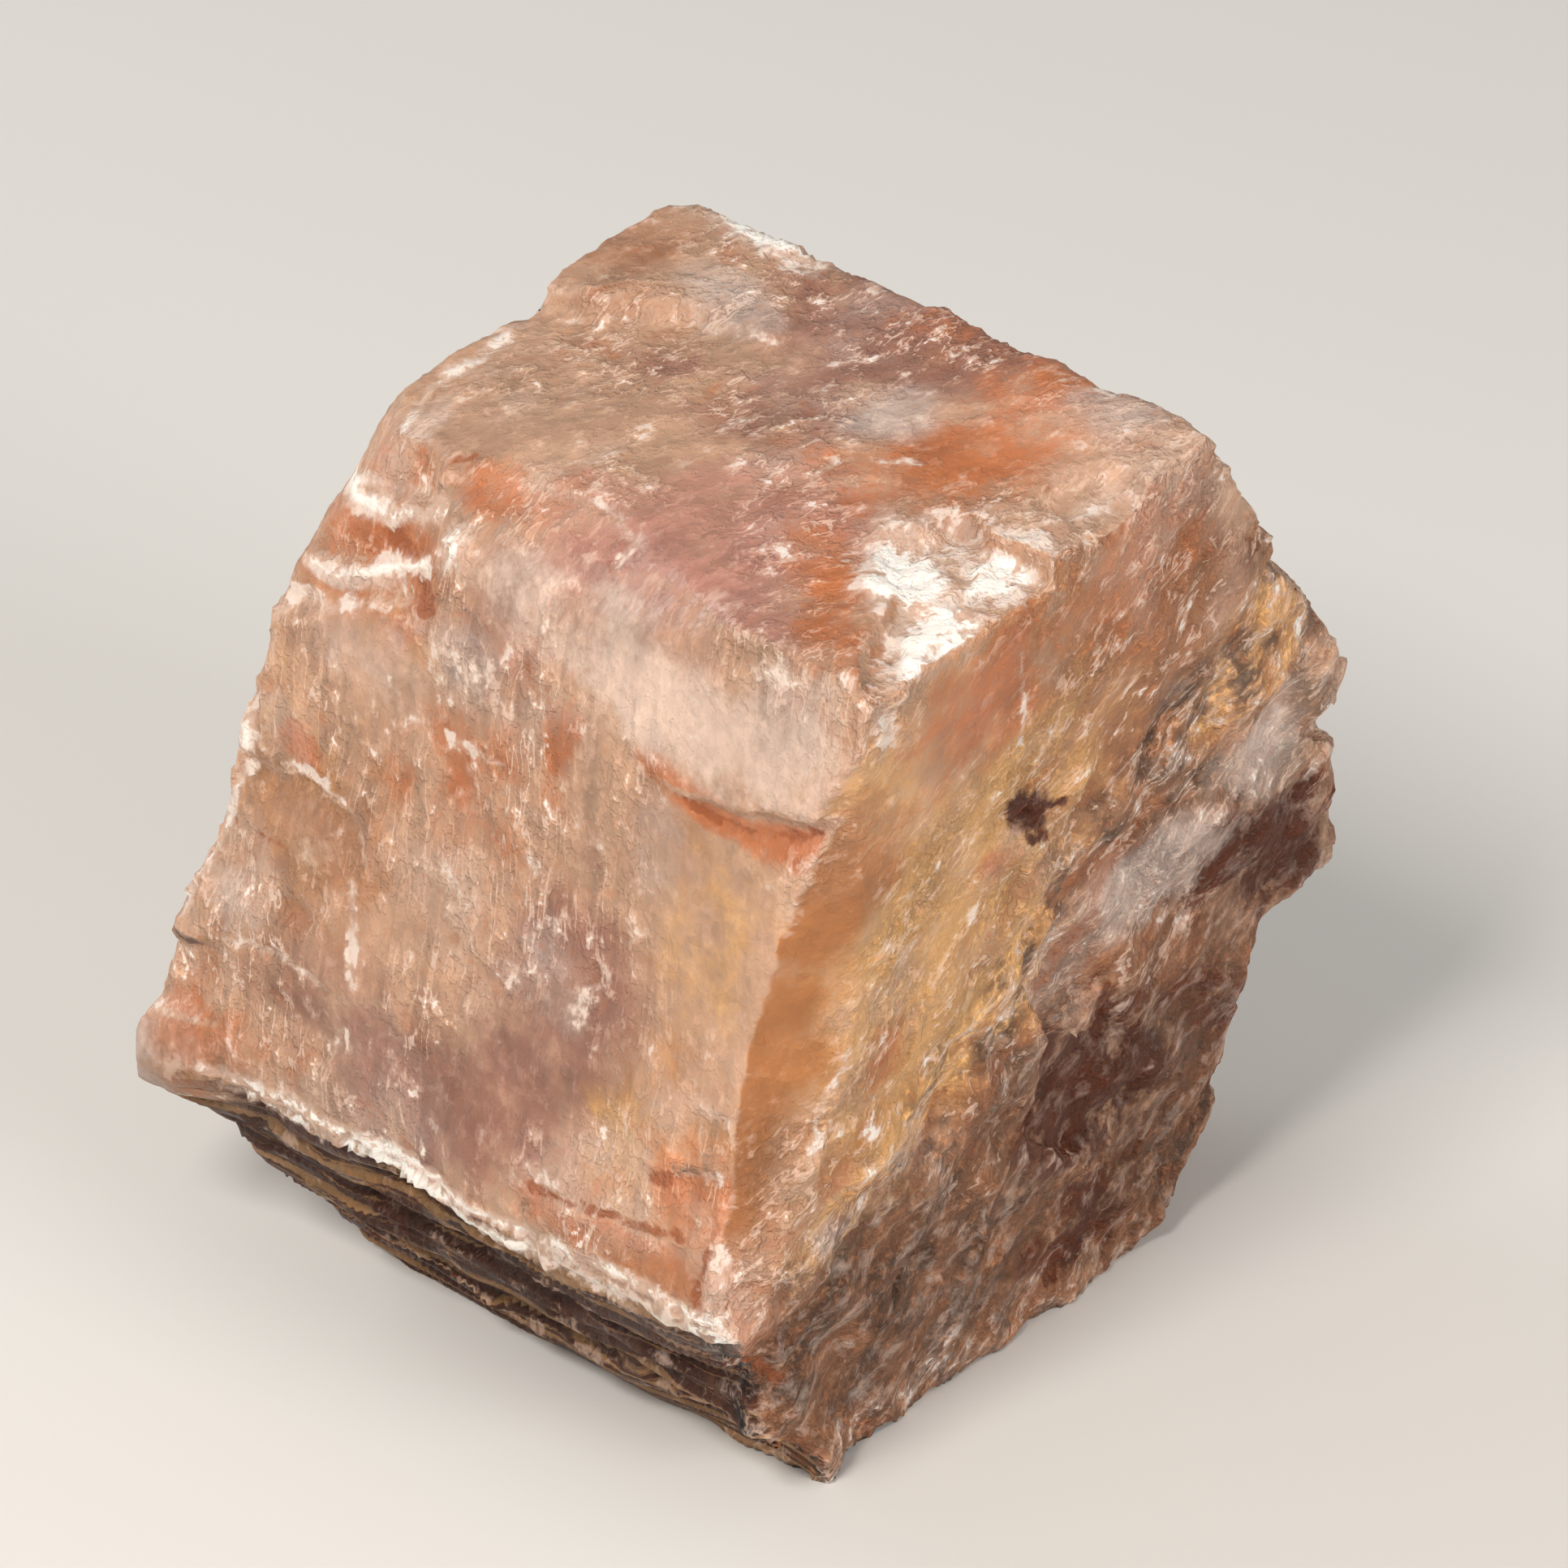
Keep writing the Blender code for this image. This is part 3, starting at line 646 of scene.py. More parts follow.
def plain_block():
    """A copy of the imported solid's mesh in one skin, with its waves taken out."""
    bm = bmesh.new()
    bm.from_mesh(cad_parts[SOLID].data)
    bmesh.ops.remove_doubles(bm, verts=bm.verts, dist=0.001 * MM)
    mesh = bpy.data.meshes.new(STONE)
    bm.to_mesh(mesh)
    bm.free()
    set_mesh_points(mesh, without_waves(mesh_points(mesh)))
    return mesh


def divided_finely(mesh, spacing):
    """The mesh remade from small even faces."""
    guide = bpy.data.objects.new("plain_block", mesh)
    bpy.context.scene.collection.objects.link(guide)
    remesh = guide.modifiers.new("even_faces", "REMESH")
    remesh.mode = "VOXEL"
    remesh.voxel_size = spacing
    remesh.use_smooth_shade = True
    evaluated = guide.evaluated_get(bpy.context.evaluated_depsgraph_get())
    fine = bpy.data.meshes.new_from_object(evaluated)
    bpy.data.objects.remove(guide)
    bpy.data.meshes.remove(mesh)
    fine.name = STONE
    return fine


def neighbour_means(values, edges):
    """The mean of each vertex's neighbours' values."""
    total = np.zeros_like(values)
    count = np.zeros(len(values))
    for here, there in ((0, 1), (1, 0)):
        np.add.at(total, edges[:, here], values[edges[:, there]])
        np.add.at(count, edges[:, here], 1.0)
    return total / count.reshape((-1,) + (1,) * (values.ndim - 1))


def bends(points, normals, edges, spacing):
    """How sharply the surface bends at each vertex: above 0 on an edge, below 0 in a corner."""
    smooth = points.copy()
    for _ in range(3):
        smooth = neighbour_means(smooth, edges)
    bend = ((points - smooth) * normals).sum(1) / spacing
    for _ in range(2):
        bend = neighbour_means(bend, edges)
    return bend


def with_faded_steps(points):
    """The points, with those in the faces' faded steps moved out to them."""
    for name, patches in FADED_STEPS.items():
        face = Face(name)
        places = face.places(points)
        fade = np.zeros(len(points))
        for middle, half_sizes, turn, strength in patches:
            fade = np.maximum(fade, stain_share(places, middle, half_sizes, turn) * strength)
        depth = np.clip(-places[:, 2], 0.0, 2.2) * smooth_between(-3.0, -2.2, places[:, 2])
        points = points + (fade * depth)[:, None] * face.out
    return points


def swelling(points):
    """How far each point is raised where the stone swells, in millimetres."""
    height = np.zeros(len(points))
    for name, middle, half_sizes, turn, most in SWELLS:
        places = Face(name).places(points)
        near = smooth_between(-4.0, -1.5, places[:, 2])
        height += stain_share(places, middle, half_sizes, turn) * near * most
    return height


def stain_share(places, middle, half_sizes, turn):
    """1 inside an oval on a face, fading out round its rim."""
    offset = places[:, :2] - middle
    angle = math.radians(turn)
    along = offset[:, 0] * math.cos(angle) + offset[:, 1] * math.sin(angle)
    aside = offset[:, 1] * math.cos(angle) - offset[:, 0] * math.sin(angle)
    return smooth_between(1.7, 0.15, np.hypot(along / half_sizes[0], aside / half_sizes[1]))


def line_distance(places, line):
    """The distance on a face from each point to a broken line."""
    nearest = np.full(len(places), np.inf)
    for start, end in zip(np.array(line), np.array(line[1:])):
        side = end - start
        offset = places[:, :2] - start
        share = np.clip(offset @ side / (side @ side), 0.0, 1.0)
        nearest = np.minimum(nearest, np.linalg.norm(offset - share[:, None] * side, axis=1))
    return nearest


class Skin:
    """The plain block's surface: its points and normals, and each face's share of them."""

    def __init__(self, mesh, spacing):
        set_mesh_points(mesh, with_faded_steps(mesh_points(mesh)))
        self.points = mesh_points(mesh)
        flat = np.empty(len(mesh.vertices) * 3)
        mesh.vertices.foreach_get("normal", flat)
        self.normals = flat.reshape(-1, 3)
        ends = np.empty(len(mesh.edges) * 2, np.int64)
        mesh.edges.foreach_get("vertices", ends)
        self.edges = ends.reshape(-1, 2)
        self.bend = bends(self.points, self.normals, self.edges, spacing / MM)
        warp = np.stack([cloud(self.points, 5.0, 40 + axis, 3) for axis in range(3)], 1)
        self.places = {name: Face(name).places(self.points + warp * 0.6) for name in FACES}
        self.facing = {name: self.normals @ Face(name).out for name in FACES}
        self.share = {}
        for name, places in self.places.items():
            rival = np.maximum.reduce([self.facing[other] for other in FACES if other != name])
            foremost = smooth_between(-0.08, 0.08, self.facing[name] - rival)
            near = smooth_between(-9.0, -5.0, places[:, 2])
            self.share[name] = foremost * smooth_between(0.4, 0.55, self.facing[name]) * near
        foot = Face("undercut").places(self.points)
        below = smooth_between(0.5, -0.5, foot[:, 1]) * smooth_between(-7.0, -5.0, foot[:, 2])
        nose = stain_share(foot, *NOSE) * smooth_between(-4.0, -1.5, foot[:, 2])
        below *= 1.0 - nose
        undercut = self.share["undercut"] * (1.0 - nose)
        self.share["undercut"] = np.maximum(undercut, below * (1.0 - self.share["right"]))
        self.share["left"] = np.maximum(self.share["left"] * (1.0 - below), nose)
        self.layers = cloud(foot * (0.05, 1.0, 0.3), 0.9, 71, 3)
        self.strata = foot[:, 1] + 0.3 * cloud(self.points, 6.0, 75, 2)

    def mask(self, name):
        """How strongly a mineral or zone shows at each vertex."""
        shown = np.zeros(len(self.points))
        for face, middle, half_sizes, turn, strength in STAINS.get(name, ()):
            oval = stain_share(self.places[face], middle, half_sizes, turn) * self.share[face]
            shown = np.maximum(shown, oval * strength)
        for face, line, half_width, strength in LINES.get(name, ()):
            near = smooth_between(half_width * 2.0, half_width * 0.5, line_distance(self.places[face], line))
            shown = np.maximum(shown, near * self.share[face] * strength)
        return shown

    def flaky(self):
        """How flaky the surface is at each vertex: everywhere except where it broke clean."""
        patches = smooth_between(-0.35, 0.35, cloud(self.points, 7.0, 90, 3))
        return (1.0 - self.mask("smooth")) * (0.25 + 0.75 * patches)


def relief(skin, masks, flaky, rind, grain, shape):
    """How far each point is raised out of the plain block, in millimetres, and its flakes' own height."""
    top, left, right, undercut = (skin.share[name] for name in FACES)
    height = cloud(skin.points, 7.0, 1, 2) * 0.12 + swelling(skin.points)
    layers = cloud(grain * (0.5, 1.0, 1.0), 3.6, 5, 4) * 3.2
    step = np.floor(layers) + smooth_between(0.6, 1.0, layers - np.floor(layers))
    height += step * shape.flake_height / MM * flaky * (0.9 * top + 0.5 * left + 0.5 * right)
    flakes = 0.5 * cloud(grain, 2.0, 15, 3) + 0.6 * crumbs(grain * (0.75, 1.0, 1.0), 1.9, 17)
    flakes *= flaky
    height += flakes * shape.flake_height / MM * (1.3 * top + 1.0 * left + 1.3 * right)
    chips = crumbs(grain, 1.3, 45) * flaky
    height += chips * shape.flake_height / MM * (1.6 * right + 0.5 * left)
    striae = cloud(grain * (0.07, 1.0, 1.0), 0.9, 21, 2)
    height += striae * shape.striation_height / MM * left
    rough = cloud(grain * (0.55, 1.0, 1.0), 2.6, 27, 3) * 0.7
    rough += 0.7 * crumbs(grain * (0.6, 1.0, 1.0), 2.2, 33)
    height += rough * shape.rind_height / MM * rind
    crushed = crumbs(skin.points, 1.5, 51) + 0.5 * crumbs(skin.points, 0.8, 63)
    height += (crushed * 0.8 - 0.2) * shape.crush_height / MM * np.minimum(masks["crush"], 0.8)
    height -= 0.15 * masks["rust"]
    height += np.sign(skin.layers) * np.abs(skin.layers) ** 0.6 * 0.35 * undercut
    nibble = np.clip(cloud(skin.points, 2.2, 81, 3) + 0.15, 0.0, 1.0)
    height -= np.clip(skin.bend * 3.0, 0.0, 1.0) * nibble * shape.edge_wear / MM * 2.0
    return height, flakes + rough * rind * 0.7


def shaped_points(skin, height):
    """The stone's points: raised, waved, set flat on the ground and kept inside the solid's box."""
    raised = skin.points + skin.normals * height[:, None]
    waved = raised + waves(raised)
    low, high = (np.array(corner) / MM for corner in CAD_BOX)
    plain_height = (skin.points + waves(skin.points))[:, 2]
    waved[:, 2] = np.where(plain_height < GROUND_LAYER, 0.0, waved[:, 2])
    return np.clip(waved, low, high)


def give_values(mesh, name, values):
    """Store a value or a place for each vertex, for the material to read."""
    kind, field = ("FLOAT_VECTOR", "vector") if values.ndim == 2 else ("FLOAT", "value")
    attribute = mesh.attributes.new(name, kind, "POINT")
    attribute.data.foreach_set(field, np.ascontiguousarray(values, np.float32).ravel())


def add_node(tree, kind, inputs=None, output=0, **settings):
    """Add a node with its settings, its inputs set to values or linked from sockets, and give one output."""
    node = tree.nodes.new(kind)
    for name, value in settings.items():
        setattr(node, name, value)
    for name, value in (inputs or {}).items():
        if isinstance(value, bpy.types.NodeSocket):
            tree.links.new(value, node.inputs[name])
        else:
            node.inputs[name].default_value = value
    return node.outputs[output]


def rgba(colour):
    """A colour as a shader's socket takes it."""
    return (*colour, 1.0)


def with_mineral(tree, colour, mineral, mask, onset, ragged, straying, spread, most):
    """The colour with up to so much of a mineral over it, where its mask shows, with a ragged border."""
    strayed = add_node(tree, MATH, {0: ragged, 1: straying, 2: mask}, operation="MULTIPLY_ADD")
    share = add_node(tree, RANGE, {0: strayed, 1: spread[0], 2: spread[1], 3: 0.0, 4: most}, **SMOOTH)
    gate = add_node(tree, RANGE, {0: mask, 1: onset[0], 2: onset[1]}, **SMOOTH)
    share = add_node(tree, MATH, {0: share, 1: gate}, operation="MULTIPLY")
    return add_node(tree, MIX, {0: share, 6: colour, 7: mineral}, 2, data_type="RGBA")


def stone_material(colours):
    """Cloudy aragonite, cleaved and weathered: soft, warm light inside it, pearly flakes and a dull rind."""
    material = bpy.data.materials.new("cleaved_aragonite")
    material.use_nodes = True
    tree = material.node_tree
    surface = tree.nodes["Principled BSDF"]
    read = {}
    for name in MASKS + SURFACE_VALUES + SURFACE_PLACES:
        kind = "Vector" if name in SURFACE_PLACES else "Fac"
        read[name] = add_node(tree, "ShaderNodeAttribute", None, kind, attribute_name=name)
    grain = read["grain"]
    flaked = read["flaked"]

    # Grit of the broken carbonate.
    grit = add_node(tree, NOISE, {"Vector": grain, "Scale": 1.0 / GRIT, "Detail": 2.0, "Roughness": 0.65})
    # Creases between the grains of the crinkled right face and the rind. They are bumped into the surface,
    # and in the tone they are painted shade: dark in the creases and light on the ridges between them.
    crease_relief_and_painted_shade = grit
    steps = (("ADD", -0.5), ("ABSOLUTE", 0.0), ("ADD", -0.08), ("MULTIPLY", read["crinkled"]))
    for operation, value in steps:
        crease_relief_and_painted_shade = add_node(tree, MATH, {0: crease_relief_and_painted_shade, 1: value}, operation=operation)
    # Striations that run up the left face.
    upright = (1.0, STREAK_WIDTH / STREAK_LENGTH, 1.0)
    upright = add_node(tree, VECTOR, {0: read["upright"], 1: upright}, operation="MULTIPLY")
    streaks = add_node(tree, NOISE, {"Vector": upright, "Scale": 1.0 / STREAK_WIDTH, "Detail": 1.0})
    # Frosting where thin flakes lift, in ragged scraps.
    frost = add_node(tree, NOISE, {"Vector": flaked, "Scale": 1.0 / FROST, "Detail": 3.0, "Roughness": 0.7})
    # Thin cream lines along the rims of flakes, where a stretched noise passes its middle. They are painted
    # highlights, where the flakes' rims would catch the light.
    drawn = add_node(tree, VECTOR, {0: flaked, 1: (FLECK / FLECK_LENGTH, 1.0, 1.0)}, operation="MULTIPLY")
    flecks = add_node(tree, NOISE, {"Vector": drawn, "Scale": 1.0 / FLECK, "Detail": 2.0, "Roughness": 0.6})
    # The zones' borders wander with the clouds of the stone and with its grit.
    wander = add_node(tree, MATH, {0: grit, 1: -0.5}, operation="ADD")
    wander = add_node(tree, MATH, {0: read["wander"], 1: 0.55, 2: wander}, operation="MULTIPLY_ADD")
    # Broken grains, each with its own tone.
    cells = add_node(tree, CELLS, {"Vector": flaked, "Scale": 1.0 / CRUMB})
    crumb_tone = add_node(tree, "ShaderNodeSeparateColor", {"Color": cells.node.outputs["Color"]})
    crumb_rim = add_node(tree, RANGE, {0: cells, 1: 0.15, 2: 0.6, 3: 0.25, 4: -0.35})

    # The minerals, one over another, with ragged borders.
    colour = rgba(colours.body)
    onset = (0.0, 0.35)
    for name, straying, spread, most in (
        ("pink", 0.5, (0.0, 0.9), 1.0),
        ("mauve", 0.7, (0.0, 0.9), 1.0),
        ("bark", 0.7, (0.0, 0.8), 1.0),
        ("honey", 0.7, (0.0, 0.9), 1.0),
        ("iron", 0.8, (0.05, 0.9), 1.0),
        ("resin", 0.5, (0.1, 0.9), 0.95),
        ("haze", 0.5, (0.1, 0.9), 0.85),
        ("smoke", 1.3, (0.25, 0.75), 1.0),
        ("amber", 1.0, (0.25, 0.85), 1.0),
        ("milk", 0.7, (0.05, 0.9), 1.0),
    ):
        mineral = rgba(getattr(colours, name))
        colour = with_mineral(tree, colour, mineral, read[name], onset, wander, straying, spread, most)

    # The layers of the undercut are dark between honey-coloured edges.
    layers = {"W": read["strata"], "Scale": 1.0 / LAYER, "Detail": 3.0, "Roughness": 0.65}
    layers = add_node(tree, NOISE, layers, noise_dimensions="1D")
    layers = add_node(tree, MATH, {0: wander, 1: 0.12, 2: layers}, operation="MULTIPLY_ADD")
    for low, high, most, mineral in ((0.5, 0.58, 0.7, colours.honey), (0.54, 0.46, 0.92, colours.amber)):
        share = add_node(tree, RANGE, {0: layers, 1: low, 2: high, 3: 0.0, 4: most}, **SMOOTH)
        share = add_node(tree, MATH, {0: share, 1: read["undercut_share"]}, operation="MULTIPLY")
        colour = add_node(tree, MIX, {0: share, 6: colour, 7: rgba(mineral)}, 2, data_type="RGBA")

    # Thin flakes, in scraps and along rims, are broken off wherever the stone is dark or broke clean.
    dark = add_node(tree, MATH, {0: read["amber"], 1: read["smoke"]}, operation="MAXIMUM")
    frosted = add_node(tree, RANGE, {0: dark, 1: 0.8, 2: 0.1, 3: 0.1, 4: 1.0}, **SMOOTH)
    frosted = add_node(tree, MATH, {0: frosted, 1: read["flaky"]}, operation="MULTIPLY")
    scraps = add_node(tree, RANGE, {0: frost, 1: 0.57, 2: 0.6}, **SMOOTH)
    scraps = add_node(tree, MATH, {0: scraps, 1: frosted}, operation="MULTIPLY")
    gaps = add_node(tree, RANGE, {0: frost, 1: 0.4, 2: 0.32}, **SMOOTH)
    # Painted glints: white specks where the frost noise peaks, in place of sparkles of light.
    painted_glints = add_node(tree, RANGE, {0: frost, 1: 0.64, 2: 0.68}, **SMOOTH)
    # Painted highlights: thin cream lines along the flakes' rims.
    rims = add_node(tree, MATH, {0: flecks, 1: 0.5, 2: 0.024}, operation="COMPARE")
    rim_breaks = add_node(tree, RANGE, {0: frost, 1: 0.46, 2: 0.54}, **SMOOTH)
    uncombed = add_node(tree, MATH, {0: 1.0, 1: read["combed"]}, operation="SUBTRACT")
    for share in (rim_breaks, frosted, uncombed):
        rims = add_node(tree, MATH, {0: rims, 1: share}, operation="MULTIPLY")
    hairs = add_node(tree, MATH, {0: streaks, 1: 0.5, 2: 0.02}, operation="COMPARE")
    for share in (read["combed"], frosted):
        hairs = add_node(tree, MATH, {0: hairs, 1: share}, operation="MULTIPLY")
    broken = add_node(tree, RANGE, {0: wander, 1: -0.2, 2: 0.2}, **SMOOTH)

    # The stone is cloudy at every size: its tone wanders from lump to lump and from flake to flake. Some of
    # it is painted light and shade: raised flakes, crease ridges and flake rims are painted lighter, and the
    # flakes' hollows and the creases darker.
    tone = 0.5
    for source, weight in (
        (read["lumps"], 0.16),
        (read["drift"], 0.12),
        # raised flakes: painted light on their tops and painted shade in their hollows
        (read["raised"], 0.16),
        (grit, 0.25),
        (frost, 0.35),
        (crumb_tone, 0.14),
        (streaks, 0.06),
        # painted shade in the creases and painted light on the ridges between them
        (crease_relief_and_painted_shade, 2.4),
        # flake rims, painted lighter as highlights
        (rims, 0.35),
        (hairs, 0.25),
        (scraps, 0.25),
    ):
        tone = add_node(tree, MATH, {0: source, 1: weight, 2: tone}, operation="MULTIPLY_ADD")
    comb_tone = add_node(tree, RANGE, {0: streaks, 1: 0.3, 2: 0.7, 3: -0.11, 4: 0.11})
    tone = add_node(tree, MATH, {0: comb_tone, 1: read["combed"], 2: tone}, operation="MULTIPLY_ADD")
    # The rind is granular, and the undercut is painted darker, as painted shade under the stone.
    rind_tone_and_undercut_shade = add_node(tree, RANGE, {0: wander, 1: -0.3, 2: 0.3, 3: -0.35, 4: 0.6}, **SMOOTH)
    rind_tone_and_undercut_shade = add_node(tree, MATH, {0: crumb_rim, 1: 0.9, 2: rind_tone_and_undercut_shade}, operation="MULTIPLY_ADD")
    rind_tone_and_undercut_shade = add_node(tree, MATH, {0: rind_tone_and_undercut_shade, 1: read["rind"], 2: 1.0}, operation="MULTIPLY_ADD")
    # painted shade: the undercut's tone factor is lowered by 0.5
    shade = {0: read["undercut_share"], 1: -0.5, 2: rind_tone_and_undercut_shade}
    rind_tone_and_undercut_shade = add_node(tree, MATH, shade, operation="MULTIPLY_ADD")
    tone = add_node(tree, MATH, {0: tone, 1: rind_tone_and_undercut_shade}, operation="MULTIPLY")
    colour = add_node(tree, VECTOR, {0: colour, "Scale": tone}, operation="SCALE")

    # Where each thin layer lies over the stone, and at most so much of it.
    # The flakes' hollows take iron's orange: partly an iron stain and partly painted shade.
    hollows = add_node(tree, RANGE, {0: read["raised"], 1: 0.0, 2: -0.8}, **SMOOTH)
    veils = add_node(tree, RANGE, {0: read["drift"], 1: 0.0, 2: 0.6}, **SMOOTH)
    grains = add_node(tree, RANGE, {0: frost, 1: 0.5, 2: 0.64}, **SMOOTH)
    chinks = add_node(tree, RANGE, {0: frost, 1: 0.47, 2: 0.36}, **SMOOTH)
    for share, limit, mineral, most in (
        (veils, frosted, colours.haze, 0.3),
        (grains, read["rind"], colours.haze, 0.3),
        (chinks, read["rind"], colours.amber, 0.3),
        (hollows, frosted, colours.iron, 0.4),
        (gaps, frosted, colours.iron, 0.3),
        (hairs, rim_breaks, colours.milk, 0.9),
        (scraps, broken, colours.milk, 0.5),
        # flake rims, painted cream as highlights
        (rims, rim_breaks, colours.milk, 0.75),
        # painted glints, white as crushed stone
        (painted_glints, frosted, colours.crush, 0.7),
    ):
        share = add_node(tree, MATH, {0: share, 1: limit}, operation="MULTIPLY")
        share = add_node(tree, MATH, {0: share, 1: most}, operation="MULTIPLY")
        colour = add_node(tree, MIX, {0: share, 6: colour, 7: rgba(mineral)}, 2, data_type="RGBA")

    # Edges turn milky, partly as worn stone and partly as a painted highlight along them; cracks hold rust,
    # and badly crushed stone is white crumbs with cream gaps.
    cream_crumbs = add_node(tree, RANGE, {0: read["crush"], 1: 0.85, 2: 1.2, 3: 0.7, 4: 0.05}, **SMOOTH)
    crumble = add_node(tree, MATH, {0: frost, 1: -0.48}, operation="ADD")
    crumble = add_node(tree, MATH, {0: crumble, 1: 1.8, 2: wander}, operation="MULTIPLY_ADD")
    crumble = add_node(tree, MATH, {0: crumb_rim, 1: 0.5, 2: crumble}, operation="MULTIPLY_ADD")
    crumb_colour = add_node(
        tree, MIX, {0: cream_crumbs, 6: rgba(colours.crush), 7: rgba(colours.milk)}, 2, data_type="RGBA",
    )
    onset = (0.02, 0.2)
    for name, straying, spread, most, mineral in (
        # sharp edges: milky wear and a painted highlight
        ("edge", 1.6, (0.5, 1.2), 0.4, rgba(colours.milk)),
        ("rust", 0.9, (0.15, 0.75), 0.8, rgba(colours.rust)),
        ("crush", 0.8, (0.1, 0.8), 0.6, rgba(colours.milk)),
        ("crush", 1.9, (0.6, 1.2), 1.0, crumb_colour),
    ):
        colour = with_mineral(tree, colour, mineral, read[name], onset, crumble, straying, spread, most)
    tree.links.new(colour, surface.inputs["Base Color"])

    # Relief too fine for the mesh, in millimetres: the steps of flakes, grit and striations.
    rough = add_node(tree, MATH, {0: read["flaky"], 1: 0.85, 2: 0.15}, operation="MULTIPLY_ADD")
    ledges = add_node(tree, RANGE, {0: frost, 1: 0.46, 2: 0.5}, **SMOOTH)
    ledges = add_node(tree, MATH, {0: ledges, 1: scraps}, operation="ADD")
    height = add_node(tree, MATH, {0: ledges, 1: 0.06}, operation="MULTIPLY")
    height = add_node(tree, MATH, {0: grit, 1: 0.18, 2: height}, operation="MULTIPLY_ADD")
    height = add_node(tree, MATH, {0: frost, 1: 0.22, 2: height}, operation="MULTIPLY_ADD")
    height = add_node(tree, MATH, {0: height, 1: rough}, operation="MULTIPLY")
    height = add_node(tree, MATH, {0: crease_relief_and_painted_shade, 1: 0.6, 2: height}, operation="MULTIPLY_ADD")
    comb = add_node(tree, MATH, {0: read["combed"], 1: 0.08, 2: 0.03}, operation="MULTIPLY_ADD")
    height = add_node(tree, MATH, {0: streaks, 1: comb, 2: height}, operation="MULTIPLY_ADD")
    bump = add_node(tree, "ShaderNodeBump", {"Strength": 1.0, "Distance": MM, "Height": height})
    tree.links.new(bump, surface.inputs["Normal"])

    shine = add_node(tree, MATH, {0: crumb_tone, 1: 0.25, 2: 0.24}, operation="MULTIPLY_ADD")
    shine = add_node(tree, MATH, {0: read["flaky"], 1: 0.28, 2: shine}, operation="MULTIPLY_ADD")
    tree.links.new(shine, surface.inputs["Roughness"])
    for name, value in (
        ("IOR", STONE_IOR),
        ("Specular IOR Level", 0.28),
        ("Metallic", 0.0),
        ("Subsurface Weight", INNER_LIGHT),
        ("Subsurface Radius", LIGHT_REACH),
        ("Subsurface Scale", LIGHT_DEPTH * MM),
    ):
        surface.inputs[name].default_value = value
    return material


def build_stone(shape, colours):
    """The stone's visible surface, in one piece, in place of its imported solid."""
    mesh = divided_finely(plain_block(), shape.fineness)
    skin = Skin(mesh, shape.fineness)
    masks = {name: skin.mask(name) for name in MASKS}
    on_right = skin.places["right"]
    pit = stain_share(on_right, *DARK_PIT) * smooth_between(-4.0, -2.5, on_right[:, 2])
    masks["amber"] = np.maximum(masks["amber"], pit)
    hidden = smooth_between(0.3, -0.1, np.maximum.reduce(list(skin.facing.values())))
    rind = np.maximum(rind_share(skin.points), hidden)
    grain = along_grain(skin.points)
    flaky = skin.flaky()
    height, raised = relief(skin, masks, flaky, rind, grain, shape)
    set_mesh_points(mesh, shaped_points(skin, height))
    clear = np.clip(np.maximum(masks["amber"], masks["haze"]), 0.0, 1.0)
    shown_rind = np.maximum(rind_share(skin.points, RIND_SETBACK), hidden) * (1.0 - 0.75 * clear)
    shake = np.stack([cloud(skin.points, 1.7, 131 + axis, 2) for axis in range(3)], 1)
    surface_values = {
        "rind": shown_rind,
        "crinkled": np.maximum(skin.share["right"] * flaky, shown_rind),
        "flaky": np.maximum(flaky, rind),
        "raised": np.clip(raised, -1.0, 1.0),
        "strata": skin.strata,
        "lumps": cloud(skin.points, 4.0, 101, 3),
        "drift": cloud(skin.points, 9.0, 111, 4),
        "wander": cloud(skin.points, 2.8, 121, 3),
        # sharp edges, which the material paints milky: partly wear, partly a painted highlight
        "edge": np.clip(skin.bend * 2.5, 0.0, 1.0),
        "undercut_share": skin.share["undercut"],
        "combed": skin.share["left"] * (0.3 + 0.7 * flaky),
        "grain": grain,
        "flaked": (grain + shake * 0.12) * (0.8, 1.0, 1.0),
        "upright": Face("left").places(skin.points + shake * 0.1),
    }
    for name, values in (masks | surface_values).items():
        give_values(mesh, name, values)
    mesh.materials.clear()
    mesh.materials.append(stone_material(colours))
    stone = bpy.data.objects.new(STONE, mesh)
    bpy.context.scene.collection.objects.link(stone)
    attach(stone, "root")
    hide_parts(SOLID)


def look_at(place, target):
    """The rotation of a light or camera at a place that faces a target."""
    return (Vector(target) - Vector(place)).to_track_quat("-Z", "Y").to_euler()


def add_softbox(name, place, size, power, colour=WHITE):
    """A square soft light that faces the stone."""
    light = bpy.data.lights.new(name, "AREA")
    light.shape = "SQUARE"
    light.size = size
    light.energy = power
    light.color = colour
    softbox = bpy.data.objects.new(name, light)
    softbox.location = place
    softbox.rotation_euler = look_at(place, STONE_MIDDLE)
    bpy.context.scene.collection.objects.link(softbox)


def floor_material(colour):
    """Matt painted board: pale and even."""
    material = bpy.data.materials.new("matt_painted_board")
    material.use_nodes = True
    surface = material.node_tree.nodes["Principled BSDF"]
    surface.inputs["Base Color"].default_value = rgba(colour)
    surface.inputs["Roughness"].default_value = FLOOR_ROUGHNESS
    return material


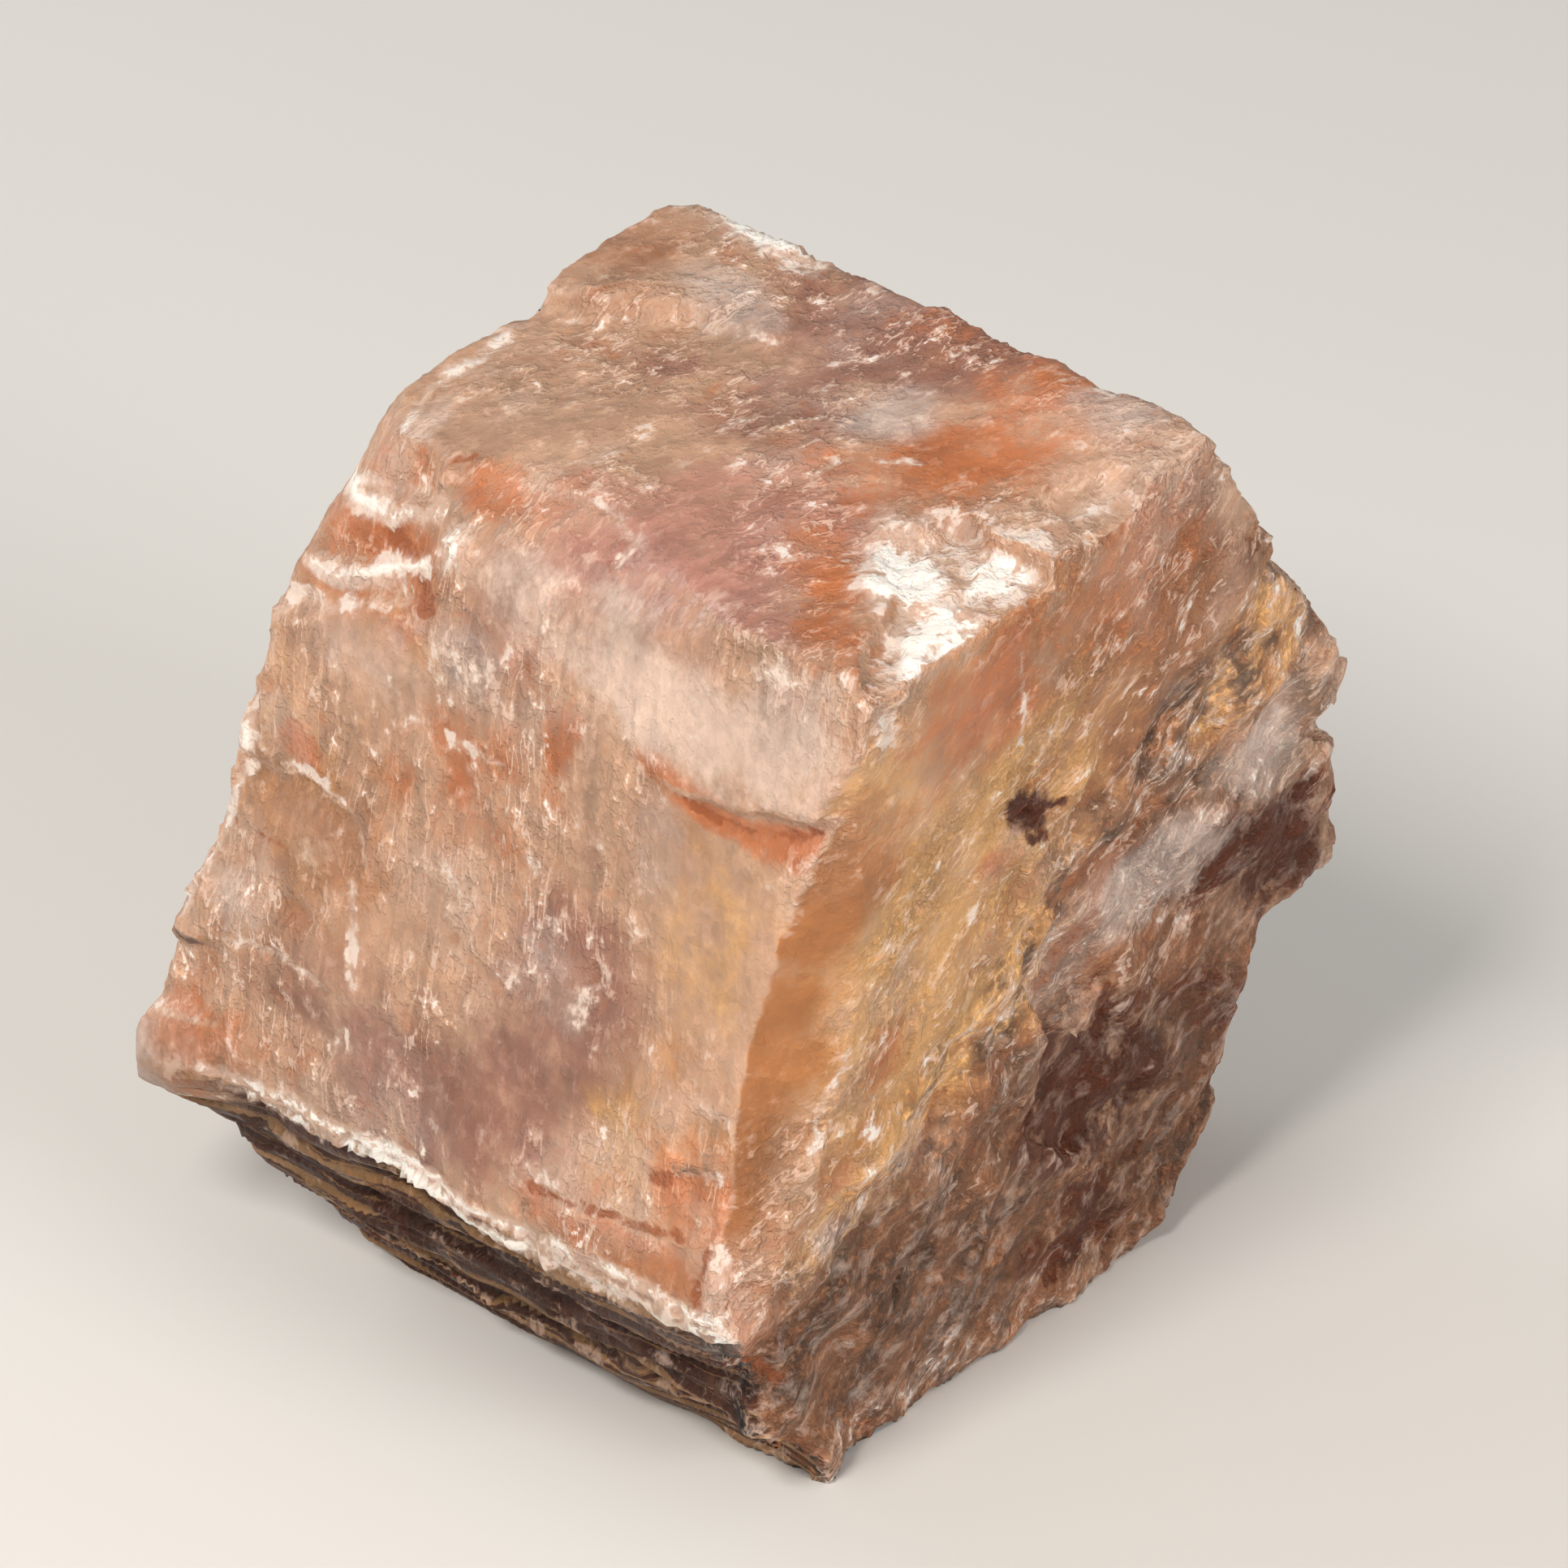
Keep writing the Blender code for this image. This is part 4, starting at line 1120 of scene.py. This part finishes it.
def build_stage(setting):
    """The floor, the world's light, the softboxes and the camera."""
    scene = bpy.context.scene
    bm = bmesh.new()
    bmesh.ops.create_grid(bm, x_segments=1, y_segments=1, size=FLOOR_HALF_SIZE)
    mesh = bpy.data.meshes.new("floor")
    bm.to_mesh(mesh)
    bm.free()
    mesh.materials.append(floor_material(setting.floor))
    floor = bpy.data.objects.new("floor", mesh)
    scene.collection.objects.link(floor)

    world = bpy.data.worlds.new("studio")
    world.use_nodes = True
    background = world.node_tree.nodes["Background"]
    background.inputs["Color"].default_value = WORLD_COLOUR
    background.inputs["Strength"].default_value = WORLD_STRENGTH
    scene.world = world
    scene.view_settings.view_transform = "Standard"

    add_softbox("key_light", (-0.22, -0.45, 0.52), 0.2, setting.key_power, KEY_COLOUR)
    add_softbox("fill_light", (0.48, -0.52, 0.3), 0.3, setting.fill_power)
    add_softbox("back_light", (-0.5, 0.35, 0.3), 0.3, setting.back_power)

    camera = bpy.data.cameras.new("camera")
    camera.sensor_width = SENSOR_WIDTH
    camera.lens = LENS
    camera.clip_start = 0.01
    viewer = bpy.data.objects.new("camera", camera)
    rise = setting.camera_rise
    backward = Vector((0.0, -math.cos(rise), math.sin(rise)))
    viewer.location = Vector(CAMERA_TARGET) + backward * setting.camera_distance
    viewer.rotation_euler = (math.pi / 2 - rise, 0.0, 0.0)
    scene.collection.objects.link(viewer)
    scene.camera = viewer


class OBJECT_OT_aragonite_stone(bpy.types.Operator):
    """Build the stone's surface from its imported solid, with its mineral masks and its material"""

    bl_idname = "object.aragonite_stone"
    bl_label = "Build Aragonite Stone"
    bl_options = {"REGISTER", "UNDO"}

    def execute(self, context):
        scene = context.scene
        build_stone(scene.aragonite_shape, scene.aragonite_colours)
        return {"FINISHED"}


class SCENE_OT_aragonite_stage(bpy.types.Operator):
    """Build the pale floor, the soft lights and the camera"""

    bl_idname = "scene.aragonite_stage"
    bl_label = "Build Stage"
    bl_options = {"REGISTER", "UNDO"}

    def execute(self, context):
        build_stage(context.scene.aragonite_stage)
        return {"FINISHED"}


class VIEW3D_PT_aragonite(bpy.types.Panel):
    """Lists the stone's sizes and colours and the stage's settings."""

    bl_idname = "VIEW3D_PT_aragonite"
    bl_label = "Aragonite Block"
    bl_space_type = "VIEW_3D"
    bl_region_type = "UI"
    bl_category = "Aragonite"

    def draw(self, context):
        layout = self.layout
        for group in (context.scene.aragonite_shape, context.scene.aragonite_colours):
            box = layout.box()
            for name in group.__annotations__:
                box.prop(group, name)
        layout.operator(OBJECT_OT_aragonite_stone.bl_idname)
        box = layout.box()
        for name in context.scene.aragonite_stage.__annotations__:
            box.prop(context.scene.aragonite_stage, name)
        layout.operator(SCENE_OT_aragonite_stage.bl_idname)


CLASSES = (
    StoneShape,
    StoneColours,
    StageSetting,
    OBJECT_OT_aragonite_stone,
    SCENE_OT_aragonite_stage,
    VIEW3D_PT_aragonite,
)


def register():
    for cls in CLASSES:
        bpy.utils.register_class(cls)
    bpy.types.Scene.aragonite_shape = PointerProperty(type=StoneShape)
    bpy.types.Scene.aragonite_colours = PointerProperty(type=StoneColours)
    bpy.types.Scene.aragonite_stage = PointerProperty(type=StageSetting)


def unregister():
    del bpy.types.Scene.aragonite_stage
    del bpy.types.Scene.aragonite_colours
    del bpy.types.Scene.aragonite_shape
    for cls in reversed(CLASSES):
        bpy.utils.unregister_class(cls)


def main():
    register()
    bpy.ops.object.aragonite_stone()
    bpy.ops.scene.aragonite_stage()


if __name__ == "__main__":
    main()
